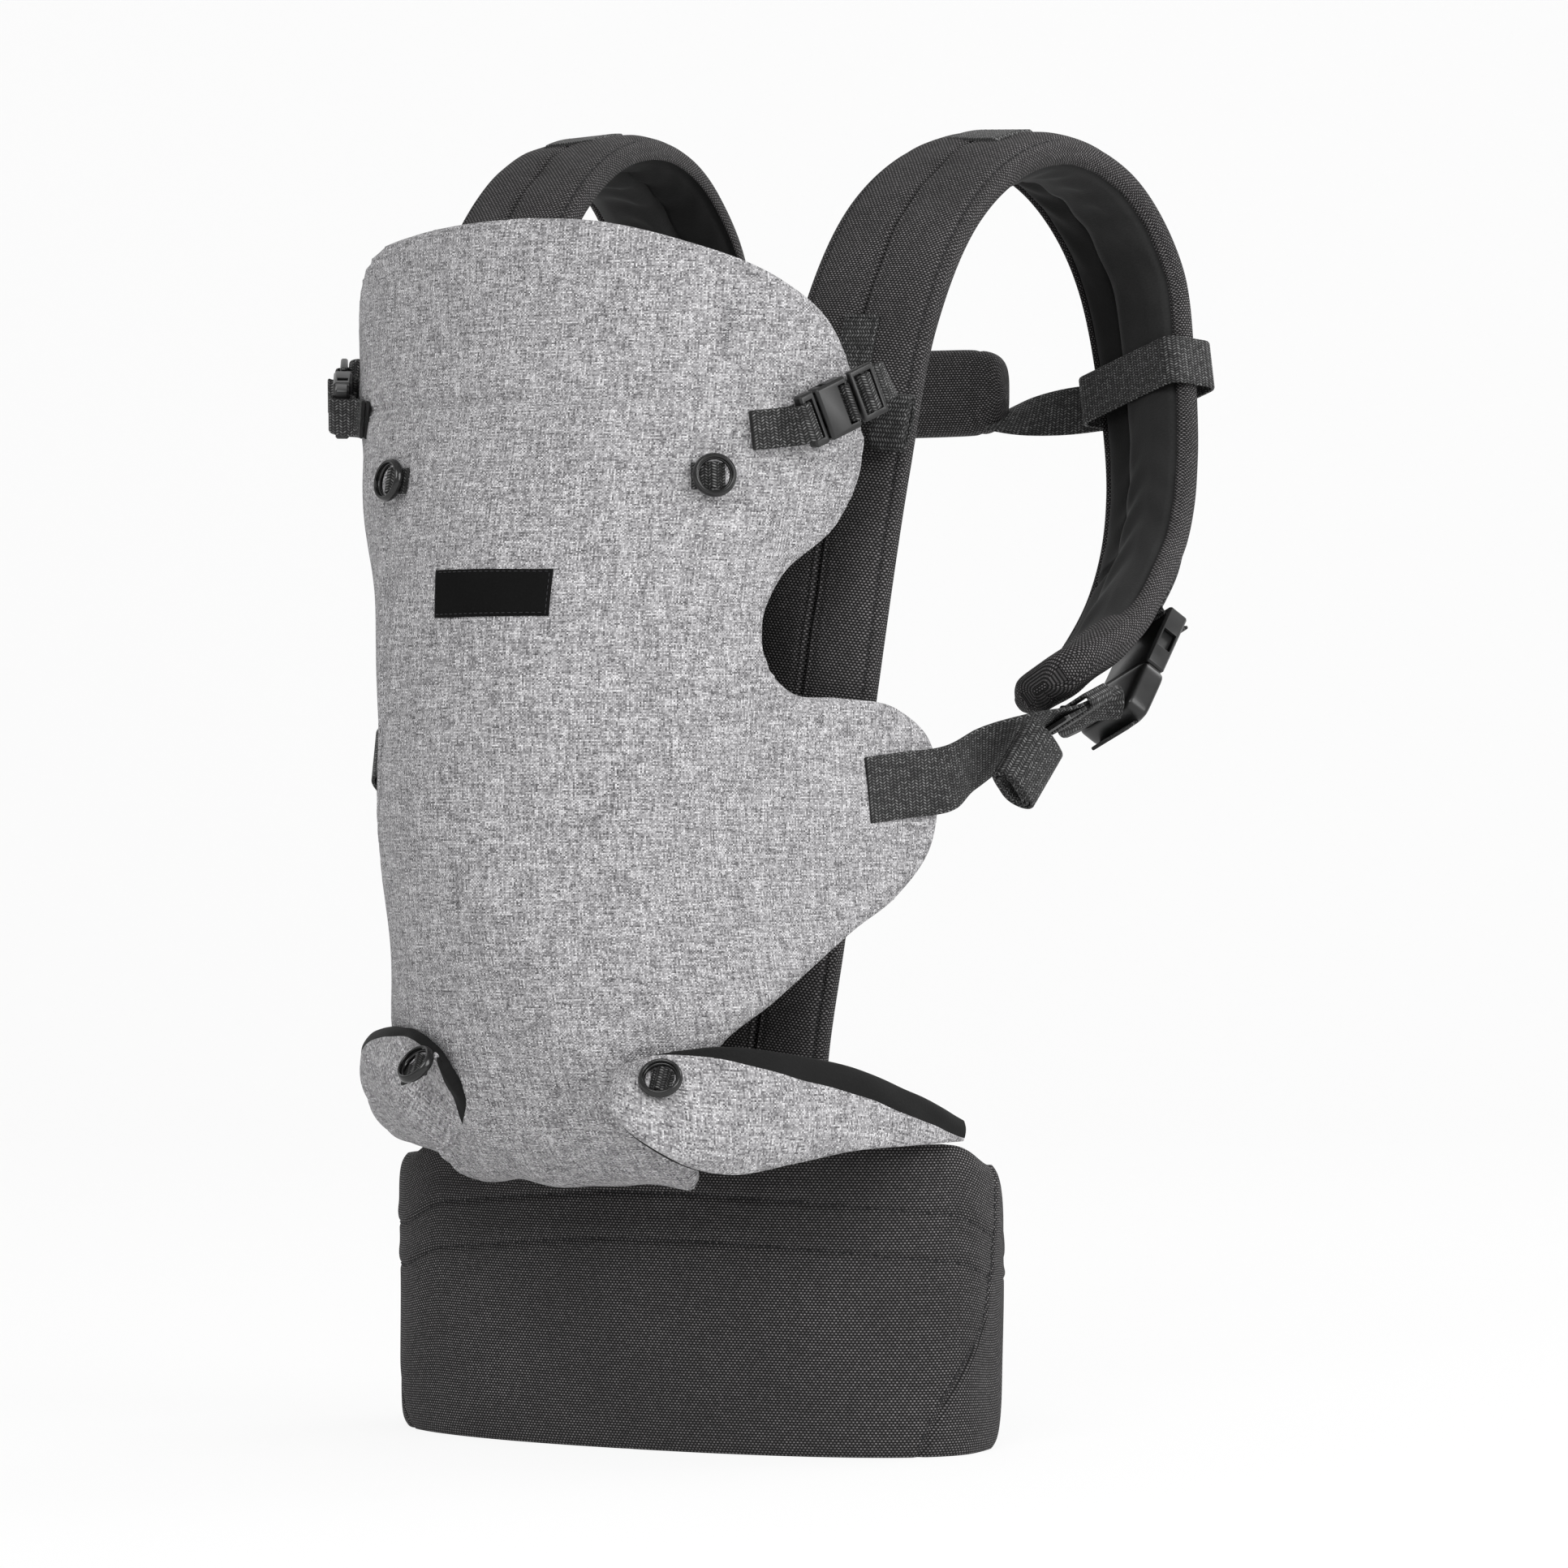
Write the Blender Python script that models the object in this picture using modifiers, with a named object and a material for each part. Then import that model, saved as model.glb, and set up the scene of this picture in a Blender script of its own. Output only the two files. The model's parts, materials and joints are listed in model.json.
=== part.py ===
"""Soft baby carrier posed as worn, standing on the hem of its hip belt.

Metres, +Z up, the front panel faces -Y, the middle plane is X = 0 and the floor is Z = 0.
A padded hip belt carries two padded shoulder straps and a front panel with a head support
that folds down, two leg flaps, side buckles, hip webbing and a strap across the back.
"""
import math

import bmesh
import bpy
import numpy as np
from mathutils import Matrix, Vector

NAME = "soft_baby_carrier"

# Cloth, webbing and the clearances between pieces that touch
CLOTH = 0.0014
GAP = 0.0004
WEB = 0.0018
PLAY = 0.0005

# Hip belt
BELT_HEIGHT = 0.146
BELT_HALF_WIDTH = 0.1555
BELT_FRONT_DEPTH = 0.0625
BELT_BACK_DEPTH = 0.108
BELT_CENTRE_Y = -0.0365
BELT_SQUARENESS = 2.2
BELT_FOAM = 0.011
BELT_END = math.radians(118)
BELT_END_HEIGHT = 0.056
BELT_CHANNELS = (0.685, 0.836)
BELT_WEBBING = 0.038

# Front panel: thickness of its cover and of its padded lining, and its fold line
PANEL_COVER = 0.0030
PANEL_LINING = 0.0038
SEAM_Q = 0.4345
FOLD_MIDDLE = 0.035
FOLD_SIDE = 0.114
FOLD_GAP = 0.0006
LABEL_WIDTH = 0.0605
LABEL_HEIGHT = 0.0218
LABEL_Q = 0.3425

# Shoulder straps
STRAP_WIDTH = 0.066
STRAP_FOAM = 0.017
STRAP_END_WIDTH = 0.040
PATCH_LENGTH = 0.034

# Ring buttons
RING_RADIUS = 0.0102
RING_HOLE = 0.0056
RING_DEPTH = 0.0046

# Side release buckles
CHEST_WEBBING = 0.018
CHEST_SOCKET = 0.0180
HIP_WEBBING = 0.031
HIP_SOCKET = 0.037
BELT_SOCKET = 0.039

# Strap across the back
BACK_PAD_LENGTH = 0.092
BACK_PAD_HEIGHT = 0.046
BACK_PAD_THICKNESS = 0.027
BACK_WEBBING = 0.025
LOOP_SIDE = 0.0028
LOOP_FACE = 0.0050

# Rolled webbing tails
ROLL_PITCH = 0.0025
HIP_ROLL_CORE = 0.0030
HIP_ROLL_TURNS = 2.5
HIP_ROLL_FLAT = 0.012
CHEST_ROLL_CORE = 0.0016
CHEST_ROLL_TURNS = 1.5
CHEST_ROLL_FLAT = 0.016

BELT_FRONT_Y = BELT_CENTRE_Y - BELT_FRONT_DEPTH

# Middle line of the panel from its hem on the belt, under the seat and up to the head,
# as offsets from the belt's front top edge, with the bend radius and wrap at each point
PANEL_LINE = (
    (-0.0065, -0.0040, 0.440, 60), (-0.027, -0.0145, 0.330, 60), (-0.053, -0.0135, 0.220, 60),
    (-0.077, 0.002, 0.155, 60), (-0.096, 0.028, 0.122, 61), (-0.113, 0.068, 0.104, 62),
    (-0.125, 0.116, 0.096, 63), (-0.129, 0.173, 0.096, 64), (-0.126, 0.248, 0.106, 64),
    (-0.113, 0.306, 0.128, 65), (-0.104, 0.343, 0.142, 65), (-0.0925, 0.4315, 0.161, 62),
)
# Half outline of the flat panel pattern, from the hem to the top: across, up
PANEL_EDGE = (
    (0.046, 0.0), (0.056, 0.020), (0.063, 0.060), (0.073, 0.100), (0.099, 0.1335),
    (0.132, 0.154), (0.158, 0.171), (0.184, 0.188), (0.2095, 0.203), (0.2335, 0.2295),
    (0.2375, 0.248), (0.2325, 0.277), (0.213, 0.291), (0.180, 0.2955), (0.152, 0.298),
    (0.1395, 0.308), (0.1335, 0.3305), (0.1405, 0.3505), (0.1675, 0.377), (0.1755, 0.401),
    (0.166, 0.4365), (0.1435, 0.475), (0.123, 0.4895), (0.074, 0.508), (0.035, 0.517),
    (0.0, 0.5195),
)

# Middle line of the right shoulder strap with its outward direction
STRAP_LINE = (
    ((0.0640, -0.0860, BELT_HEIGHT + 0.0012), (0.10, -1.0, 0.0)),
    ((0.0647, -0.0870, BELT_HEIGHT + 0.030), (0.10, -1.0, 0.0)),
    ((0.076, -0.0885, BELT_HEIGHT + 0.104), (0.10, -1.0, 0.0)),
    ((0.0910, -0.0865, BELT_HEIGHT + 0.214), (0.12, -1.0, 0.06)),
    ((0.102, -0.074, BELT_HEIGHT + 0.319), (0.12, -1.0, 0.22)),
    ((0.106, -0.053, BELT_HEIGHT + 0.388), (0.10, -0.90, 0.45)),
    ((0.108, -0.010, BELT_HEIGHT + 0.441), (0.08, -0.62, 0.78)),
    ((0.112, 0.040, BELT_HEIGHT + 0.470), (0.06, -0.22, 0.97)),
    ((0.116, 0.092, BELT_HEIGHT + 0.479), (0.06, 0.12, 0.99)),
    ((0.123, 0.152, BELT_HEIGHT + 0.463), (0.14, 0.55, 0.83)),
    ((0.128, 0.192, BELT_HEIGHT + 0.424), (0.26, 0.88, 0.38)),
    ((0.135, 0.196, BELT_HEIGHT + 0.374), (0.40, 0.90, 0.0)),
    ((0.148, 0.174, BELT_HEIGHT + 0.324), (0.48, 0.80, -0.25)),
    ((0.159, 0.136, BELT_HEIGHT + 0.280), (0.50, 0.65, -0.50)),
    ((0.1635, 0.097, BELT_HEIGHT + 0.251), (0.50, 0.58, -0.60)),
    ((0.164, 0.068, BELT_HEIGHT + 0.2325), (0.50, 0.56, -0.64)),
    ((0.162, 0.016, BELT_HEIGHT + 0.2145), (0.50, 0.54, -0.68)),
)
LEFT_STRAP_LIFT = 0.009

HEATHER = (0.42, 0.42, 0.43, 1.0)
CANVAS = (0.045, 0.045, 0.05, 1.0)
JERSEY = (0.02, 0.02, 0.022, 1.0)
WEBBING = (0.018, 0.018, 0.02, 1.0)
MOULDED = (0.012, 0.012, 0.013, 1.0)
FOAM = (0.25, 0.25, 0.24, 1.0)


def clear_scene():
    for old in list(bpy.data.objects):
        bpy.data.objects.remove(old, do_unlink=True)
    for old in list(bpy.data.collections):
        bpy.data.collections.remove(old)


clear_scene()
PARTS = bpy.data.collections.new(NAME)
CUTTERS = bpy.data.collections.new("cutters")
bpy.context.scene.collection.children.link(PARTS)
bpy.context.scene.collection.children.link(CUTTERS)


def finish(name, bm, colour, roughness=0.8):
    """Turn the mesh into a named piece with its own material."""
    mesh = bpy.data.meshes.new(name)
    bm.normal_update()
    bm.to_mesh(mesh)
    bm.free()
    piece = bpy.data.objects.new(name, mesh)
    PARTS.objects.link(piece)
    material = bpy.data.materials.new(name)
    material.use_nodes = True
    shader = material.node_tree.nodes["Principled BSDF"]
    shader.inputs["Base Color"].default_value = colour
    shader.inputs["Roughness"].default_value = roughness
    material.diffuse_color = colour
    mesh.materials.append(material)
    return piece


def thicken(piece, inner, outer):
    """Give a sheet the thickness from inner to outer, counted along its normals."""
    solid = piece.modifiers.new("thickness", "SOLIDIFY")
    solid.thickness = outer - inner
    solid.offset = 2.0 * outer / (outer - inner) - 1.0
    solid.use_even_offset = False
    return piece


def split_quads(bm):
    """Split every face along its shorter diagonal, so layers over one grid stay parallel."""
    bmesh.ops.triangulate(bm, faces=bm.faces[:], quad_method="SHORT_EDGE")


def smooth(knots, values):
    """Smooth curve through the values, cubic between knots with central slopes."""
    k = np.asarray(knots, float)
    v = np.asarray(values, float).reshape(len(k), -1)
    slope = np.gradient(v, k, axis=0)

    def curve(t):
        t = min(max(float(t), k[0]), k[-1])
        i = int(min(max(np.searchsorted(k, t, side="right") - 1, 0), len(k) - 2))
        h = k[i + 1] - k[i]
        u = (t - k[i]) / h
        a = (1 + 2 * u) * (1 - u) ** 2 * v[i] + u * (1 - u) ** 2 * h * slope[i]
        return a + u * u * (3 - 2 * u) * v[i + 1] + u * u * (u - 1) * h * slope[i + 1]

    return curve


def lengths(points):
    """Running length along a row of points."""
    p = np.asarray(points, float)
    return np.concatenate([[0.0], np.cumsum(np.linalg.norm(np.diff(p, axis=0), axis=1))])


def unit(v):
    v = np.asarray(v, float)
    return v / np.linalg.norm(v)


def mirrored(point):
    return np.asarray(point, float) * (-1.0, 1.0, 1.0)


def sheet(name, surface, us, vs, inner, outer, colour):
    """Cloth over a patch of a surface; the surface's u x v direction is outward."""
    bm = bmesh.new()
    nu, nv = len(us) - 1, len(vs) - 1
    bmesh.ops.create_grid(bm, x_segments=nu, y_segments=nv, size=0.5)
    for vert in bm.verts:
        i = round((vert.co.x + 0.5) * nu)
        j = round((vert.co.y + 0.5) * nv)
        vert.co = surface(us[i], vs[j])
    split_quads(bm)
    return thicken(finish(name, bm, colour), inner, outer)


def loft(name, rings, colour, roughness=0.8):
    """Closed body through rings of equal count, capped at both ends."""
    bm = bmesh.new()
    rows = [[bm.verts.new(p) for p in ring] for ring in rings]
    n = len(rows[0])
    for low, high in zip(rows, rows[1:]):
        for i in range(n):
            j = (i + 1) % n
            bm.faces.new((low[i], low[j], high[j], high[i]))
    bm.faces.new(list(reversed(rows[0])))
    bm.faces.new(rows[-1])
    split_quads(bm)
    bmesh.ops.recalc_face_normals(bm, faces=bm.faces[:])
    return finish(name, bm, colour, roughness)


# The panel as a surface over its flat pattern
PROFILE = np.array([(BELT_FRONT_Y + y, BELT_HEIGHT + z) for y, z, r, w in PANEL_LINE])
PROFILE_Q = lengths(PROFILE)
profile_curve = smooth(PROFILE_Q, PROFILE)
bend_curve = smooth(PROFILE_Q, [(r, math.radians(w)) for y, z, r, w in PANEL_LINE])


def panel(s, q):
    """Point of the panel: s across the cloth from the middle, q up the cloth from the hem."""
    y, z = profile_curve(q)
    radius, wrap = bend_curve(q)
    turn = min(abs(s) / radius, wrap)
    rest = max(abs(s) - radius * wrap, 0.0)
    x = radius * math.sin(turn) + rest * math.cos(wrap)
    back = radius * (1 - math.cos(turn)) + rest * math.sin(wrap)
    return np.array((math.copysign(x, s), y + back, z))


def panel_frame(s, q, out=0.0):
    """Point lifted off the panel, with its across, up and outward directions."""
    step = 0.001
    across = unit(panel(s + step, q) - panel(s - step, q))
    up = panel(s, q + step) - panel(s, q - step)
    normal = unit(np.cross(across, up))
    return panel(s, q) + out * normal, across, np.cross(normal, across), normal


def panel_outline():
    """Closed outline of the flat pattern, smooth through the edge points on both sides."""
    edge = smooth(lengths(PANEL_EDGE), PANEL_EDGE)
    span = lengths(PANEL_EDGE)[-1]
    right = [edge(t) for t in np.linspace(0.0, span, 46)]
    left = [(-s, q) for s, q in reversed(right[:-1])]
    return [tuple(p) for p in right] + left


def panel_piece(name, keep, inner, outer, colour):
    """Piece of the panel cut from the flat pattern, wrapped into place and thickened."""
    bm = bmesh.new()
    bm.faces.new([bm.verts.new((s, q, 0.0)) for s, q in panel_outline()])
    cuts = [FOLD_MIDDLE - FOLD_GAP, FOLD_MIDDLE, FOLD_SIDE - FOLD_GAP, FOLD_SIDE]
    cuts += [0.0, 0.072, 0.138, 0.166, 0.194]
    cuts = sorted(set(cuts + [-c for c in cuts]))
    rows = [SEAM_Q - FOLD_GAP, SEAM_Q] + [0.026, 0.052, 0.08, 0.114, 0.15, 0.18, 0.21]
    rows += [0.24, 0.27, 0.302, 0.335, 0.372, 0.41, 0.475, 0.505]
    for values, axis in ((cuts, 0), (rows, 1)):
        for value in values:
            where = Vector((0, 0, 0))
            where[axis] = value
            along = Vector((0, 0, 0))
            along[axis] = 1.0
            geometry = bm.verts[:] + bm.edges[:] + bm.faces[:]
            bmesh.ops.bisect_plane(bm, geom=geometry, plane_co=where, plane_no=along)
    drop = []
    for face in bm.faces:
        middle = face.calc_center_median()
        if not keep(middle.x, middle.y):
            drop.append(face)
    bmesh.ops.delete(bm, geom=drop, context="FACES")
    bmesh.ops.remove_doubles(bm, verts=bm.verts[:], dist=1e-5)
    split_quads(bm)
    raised = bmesh.ops.extrude_face_region(bm, geom=bm.faces[:])["geom"]
    raised = [g for g in raised if isinstance(g, bmesh.types.BMVert)]
    bmesh.ops.translate(bm, verts=raised, vec=(0, 0, 1))
    for vert in bm.verts:
        s, q, level = vert.co
        vert.co = panel_frame(s, q, outer if level > 0.5 else inner)[0]
    bmesh.ops.recalc_face_normals(bm, faces=bm.faces[:])
    return finish(name, bm, colour)


def in_panel(s, q):
    return q < SEAM_Q - FOLD_GAP or abs(s) > FOLD_SIDE


def in_head_middle(s, q):
    return q > SEAM_Q and abs(s) < FOLD_MIDDLE - FOLD_GAP


def in_head_side(sign):
    def keep(s, q):
        return q > SEAM_Q and FOLD_MIDDLE < sign * s < FOLD_SIDE - FOLD_GAP
    return keep


panel_piece("front_panel_cover", in_panel, 0.0, PANEL_COVER, HEATHER)
panel_piece("front_panel_lining", in_panel, -PANEL_LINING - GAP, -GAP, JERSEY)
panel_piece("head_support_middle", in_head_middle, -PANEL_LINING, PANEL_COVER, HEATHER)
for side, sign in (("right", 1), ("left", -1)):
    panel_piece("head_support_" + side, in_head_side(sign), -PANEL_LINING, PANEL_COVER, HEATHER)

label_s = np.linspace(-LABEL_WIDTH / 2, LABEL_WIDTH / 2, 7)
label_q = np.linspace(LABEL_Q - LABEL_HEIGHT / 2, LABEL_Q + LABEL_HEIGHT / 2, 3)
sheet("label_patch", panel, label_s, label_q, PANEL_COVER + 3 * GAP,
      PANEL_COVER + 3 * GAP + CLOTH, JERSEY)


# The hip belt
def belt_plan(a):
    """Plan position of the belt's padded core at angle a from the front."""
    power = 2.0 / BELT_SQUARENESS
    depth = BELT_FRONT_DEPTH if math.cos(a) > 0 else BELT_BACK_DEPTH
    x = BELT_HALF_WIDTH * math.copysign(abs(math.sin(a)) ** power, math.sin(a))
    y = depth * math.copysign(abs(math.cos(a)) ** power, math.cos(a))
    return np.array((x, BELT_CENTRE_Y - y, 0.0))


def belt_out(a):
    step = 0.004
    along = belt_plan(a + step) - belt_plan(a - step)
    return unit((along[1], -along[0], 0.0))


def belt_span(a):
    """Bottom and top of the belt at angle a: full height, then narrowing to its ends."""
    start = math.radians(100)
    u = max(abs(a) - start, 0.0) / (BELT_END - start)
    ease = u * u * (3 - 2 * u)
    rise = (BELT_HEIGHT - BELT_END_HEIGHT) / 2
    return rise * ease, BELT_HEIGHT - rise * ease


def belt_face(h):
    """Outer face of the padding at height fraction h, drawn in at both channels."""
    out = -0.0035 * abs(2 * h - 1) ** 8
    for channel in BELT_CHANNELS:
        out -= 0.0016 * max(0.0, 1 - abs(h - channel) / 0.035)
    return out


def belt_lining_face(h):
    return -BELT_FOAM + 0.002 * abs(2 * h - 1) ** 8


BELT_H = [0.0, 0.03, 0.2, 0.45, 0.65, 0.685, 0.72, 0.80, 0.836, 0.872, 0.96, 1.0]
BELT_H_IN = [1.0, 0.95, 0.65, 0.35, 0.05, 0.0]
BELT_A = np.linspace(-BELT_END, BELT_END, 27)


def belt_ring(a, section):
    base, out = belt_plan(a), belt_out(a)
    low, high = belt_span(a)
    return [base + out * d + np.array((0, 0, low + (high - low) * h)) for h, d in section]


def belt_loft(name, section, colour):
    return loft(name, [belt_ring(a, section) for a in BELT_A], colour)


foam = [(h, belt_face(h)) for h in BELT_H] + [(h, belt_lining_face(h)) for h in BELT_H_IN]
belt_loft("belt_padding", foam, FOAM)
cover = [(h, belt_face(h) + GAP + CLOTH) for h in BELT_H]
cover += [(h, belt_face(h) + GAP) for h in reversed(BELT_H)]
belt_loft("belt_cover", cover, CANVAS)
lining = [(h, belt_lining_face(h) - GAP) for h in reversed(BELT_H_IN)]
lining += [(h, belt_lining_face(h) - GAP - CLOTH) for h in BELT_H_IN]
belt_loft("belt_lining", lining, JERSEY)


# The shoulder straps
STRAP_POINTS = [p for p, n in STRAP_LINE]
STRAP_T = lengths(STRAP_POINTS)
strap_line = smooth(STRAP_T, STRAP_POINTS)
strap_normal = smooth(STRAP_T, [unit(n) for p, n in STRAP_LINE])
STRAP_LENGTH = STRAP_T[-1]


def strap_frame(t):
    """Position, across, along and outward directions of the right strap at length t."""
    step = 0.002
    along = unit(strap_line(t + step) - strap_line(t - step))
    rough = strap_normal(t)
    normal = unit(rough - along * float(np.dot(rough, along)))
    return strap_line(t), np.cross(along, normal), along, normal


def strap_width(t):
    """Full width, tapering to the webbing at the lower back end."""
    u = max(0.0, 1 - (STRAP_LENGTH - t) / 0.075)
    return STRAP_WIDTH - (STRAP_WIDTH - STRAP_END_WIDTH) * u * u


def strap_top(e):
    """Crowned outer face over e from -1 to 1, drawn in along the middle seam."""
    crown = STRAP_FOAM * (0.5 - 0.42 * abs(e) ** 4)
    return crown - 0.0022 * max(0.0, 1 - abs(e) / 0.14)


def strap_bottom(e):
    return -STRAP_FOAM * (0.5 - 0.38 * abs(e) ** 4)


def strap_point(t, e, out, sign=1):
    """Point of a strap; the left one sits a little higher over its shoulder."""
    centre, across, along, normal = strap_frame(t)
    point = centre + across * (e * strap_width(t) / 2) + normal * out
    if sign > 0:
        return point
    rise = min(max((t - STRAP_T[3]) / (STRAP_T[12] - STRAP_T[3]), 0.0), 1.0)
    return mirrored(point) + np.array((0, 0, LEFT_STRAP_LIFT * math.sin(math.pi * rise) ** 2))


STRAP_E = [-1.0, -0.93, -0.7, -0.4, -0.14, 0.0, 0.14, 0.4, 0.7, 0.93, 1.0]
STRAP_E_IN = [1.0, 0.9, 0.5, -0.5, -0.9, -1.0]
STRAP_ROWS = np.linspace(0.0, STRAP_LENGTH, 31)


def strap_loft(name, section, sign, colour):
    rings = [[strap_point(t, e, d, sign) for e, d in section] for t in STRAP_ROWS]
    return loft(name, rings, colour)


core = [(e, strap_top(e)) for e in STRAP_E] + [(e, strap_bottom(e)) for e in STRAP_E_IN]
upper = [(e, strap_top(e) + GAP + CLOTH) for e in STRAP_E]
upper += [(e, strap_top(e) + GAP) for e in reversed(STRAP_E)]
lower = [(e, strap_bottom(e) - GAP) for e in reversed(STRAP_E_IN)]
lower += [(e, strap_bottom(e) - GAP - CLOTH) for e in STRAP_E_IN]
for side, sign in (("right", 1), ("left", -1)):
    strap_loft("shoulder_padding_" + side, core, sign, FOAM)
    strap_loft("shoulder_cover_" + side, upper, sign, CANVAS)
    strap_loft("shoulder_lining_" + side, lower, sign, JERSEY)


def strap_skin(sign):
    """The strap's outer face as a surface over across e and length t."""
    def surface(e, t):
        return strap_point(t, e, STRAP_FOAM / 2 + GAP + CLOTH, sign)
    return surface


def strap_at(height, front=True):
    """Length along the strap where its middle line is at the given height."""
    rows = np.linspace(0.0, STRAP_LENGTH, 600)
    z = np.array([strap_line(t)[2] for t in rows])
    top = int(np.argmax(z))
    part = slice(0, top) if front else slice(top, None)
    return float(rows[part][np.argmin(np.abs(z[part] - height))])


def on_strap(t, e, out, sign):
    """Point on a strap, given as its right-hand image for pieces that are mirrored later."""
    point = strap_point(t, e, out, sign)
    return point if sign > 0 else mirrored(point)


PATCH_T = float(STRAP_T[7]) + 0.022
for side, sign in (("right", 1), ("left", -1)):
    us = np.linspace(-0.42, 0.42, 5)[::sign]
    vs = np.linspace(PATCH_T - PATCH_LENGTH / 2, PATCH_T + PATCH_LENGTH / 2, 4)
    sheet("shoulder_patch_" + side, strap_skin(sign), us, vs, GAP, GAP + WEB, WEBBING)


# Leg flaps, folded up beside the seat
FLAP_P = (0.0, 0.07, 0.15, 0.25, 0.40, 0.52, 0.72, 1.0)
FLAP_POINTS = (
    (0.050, -0.2025, BELT_HEIGHT + 0.031), (0.064, -0.1990, BELT_HEIGHT + 0.025),
    (0.078, -0.1895, BELT_HEIGHT + 0.0215), (0.092, -0.1725, BELT_HEIGHT + 0.020),
    (0.111, -0.145, BELT_HEIGHT + 0.020), (0.125, -0.121, BELT_HEIGHT + 0.0195),
    (0.141, -0.089, BELT_HEIGHT + 0.014), (0.150, -0.050, BELT_HEIGHT + 0.0065))
FLAP_LINE = smooth(FLAP_P, FLAP_POINTS)
FLAP_HALF = smooth(FLAP_P, (0.010, 0.020, 0.026, 0.029, 0.025, 0.020, 0.0125, 0.004))
FLAP_LEAN = smooth((0.0, 0.07, 0.15, 0.25, 0.5, 1.0), (40, 30, 13, 5, 5, 0))
FLAP_COVER = 0.0040
FLAP_LINING = 0.0032


def flap(sign):
    """Leaf-shaped flap: p from the buttoned end to the belt, r from its lower edge up."""
    def surface(p, r):
        centre = FLAP_LINE(p)
        along = unit(FLAP_LINE(p + 0.02) - FLAP_LINE(p - 0.02))
        out = unit((along[1], -along[0], 0.0))
        lean = math.radians(float(FLAP_LEAN(p)[0]))
        up = np.array((0, 0, math.cos(lean))) - out * math.sin(lean)
        half = float(FLAP_HALF(p)[0])
        point = centre + up * (r * half) + out * (0.2 * half * (1 - r * r))
        return point if sign > 0 else mirrored(point)
    return surface


for side, sign in (("right", 1), ("left", -1)):
    ps = np.array((0.0, 0.05, 0.12, 0.25, 0.38, 0.5, 0.62, 0.75, 0.88, 1.0))[::sign]
    rs = np.linspace(-1.0, 1.0, 7)
    sheet("leg_flap_" + side, flap(sign), ps, rs, -FLAP_LINING, FLAP_COVER, HEATHER)


# Ring buttons on their tapes
def placed(piece, origin, x_axis, y_axis, z_axis, sign=1):
    """Set a piece into a frame, or into the frame's mirror image for the left side."""
    columns = [np.asarray(v, float) for v in (x_axis, y_axis, z_axis, origin)]
    if sign < 0:
        columns = [mirrored(v) for v in columns]
        columns[1] = -columns[1]
    m = Matrix.Identity(4)
    for j, column in enumerate(columns):
        for i in range(3):
            m[i][j] = column[i]
    piece.matrix_world = m
    return piece


def ring_button(name, frame, sign):
    """Dished ring turned about its axis, hinged at its inner edge."""
    half = RING_DEPTH / 2
    mid = (RING_RADIUS + RING_HOLE) / 2
    outline = [(RING_HOLE, -0.5 * half), (mid, -half), (RING_RADIUS - 0.0008, -half),
               (RING_RADIUS, -0.2 * half), (RING_RADIUS - 0.0012, half), (mid, 0.7 * half),
               (RING_HOLE, 0.2 * half)]
    bm = bmesh.new()
    verts = [bm.verts.new((r, 0.0, z)) for r, z in outline]
    edges = [bm.edges.new((verts[i], verts[(i + 1) % 7])) for i in range(7)]
    bmesh.ops.spin(bm, geom=verts + edges, cent=(0, 0, 0), axis=(0, 0, 1),
                   angle=2 * math.pi, steps=20, use_merge=True)
    bmesh.ops.translate(bm, verts=bm.verts[:], vec=(RING_RADIUS, 0, 0))
    bmesh.ops.recalc_face_normals(bm, faces=bm.faces[:])
    origin, across, up, normal = frame
    return placed(finish(name, bm, MOULDED, 0.2), origin, across, up, normal, sign)


def tape(name, frame, length, sign):
    """Short tape under a ring, from its sewn end at the hinge to past the ring's middle."""
    bm = bmesh.new()
    bmesh.ops.create_cube(bm, size=1.0)
    low = -RING_DEPTH / 2 - GAP
    for vert in bm.verts:
        vert.co = Vector(((vert.co.x + 0.5) * length, vert.co.y * RING_HOLE * 2.6,
                          low + (vert.co.z - 0.5) * WEB))
    origin, across, up, normal = frame
    return placed(finish(name, bm, WEBBING), origin, across, up, normal, sign)


UPPER_RING = {1: (0.0870, 0.397), -1: (0.0580, 0.397)}
LOWER_RING = {1: (0.070, 0.35), -1: (0.02, 0.10)}
RING_LIFT = PANEL_COVER + 2 * GAP + WEB + RING_DEPTH / 2 + GAP


def ring_frame(level, sign):
    """Frame of a ring's hinge; both left rings lie nearer the middle, the lower one turned inwards."""
    if level == "upper":
        return panel_frame(*UPPER_RING[sign], RING_LIFT)
    origin, along, up, normal = flap_frame(*LOWER_RING[sign], RING_LIFT - PANEL_COVER + FLAP_COVER + 0.0008)
    return origin, along * sign, up * sign, normal


def flap_frame(p, r, out):
    """Frame on the right flap's outer face, tipped to lie on the cloth."""
    surface = flap(1)
    along = unit(surface(p + 0.03, r) - surface(max(p - 0.03, 0.0), r))
    up = surface(p, r + 0.05) - surface(p, r - 0.05)
    normal = unit(np.cross(along, up))
    return surface(p, r) + normal * out, along, np.cross(normal, along), normal


for level in ("upper", "lower"):
    for side, sign in (("right", 1), ("left", -1)):
        frame = ring_frame(level, sign)
        ring_button("ring_button_" + level + "_" + side, frame, sign)
        tape("ring_tape_" + level + "_" + side, frame, RING_RADIUS * 1.5, sign)


# Side release buckles, built along +x from the pronged half to the socket half
def box(bm, x0, x1, y0, y1, z0, z1):
    cube = bmesh.ops.create_cube(bm, size=1.0)["verts"]
    for vert in cube:
        vert.co = Vector((x0 + (vert.co.x + 0.5) * (x1 - x0), y0 + (vert.co.y + 0.5) * (y1 - y0),
                          z0 + (vert.co.z + 0.5) * (z1 - z0)))
    return cube


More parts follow.
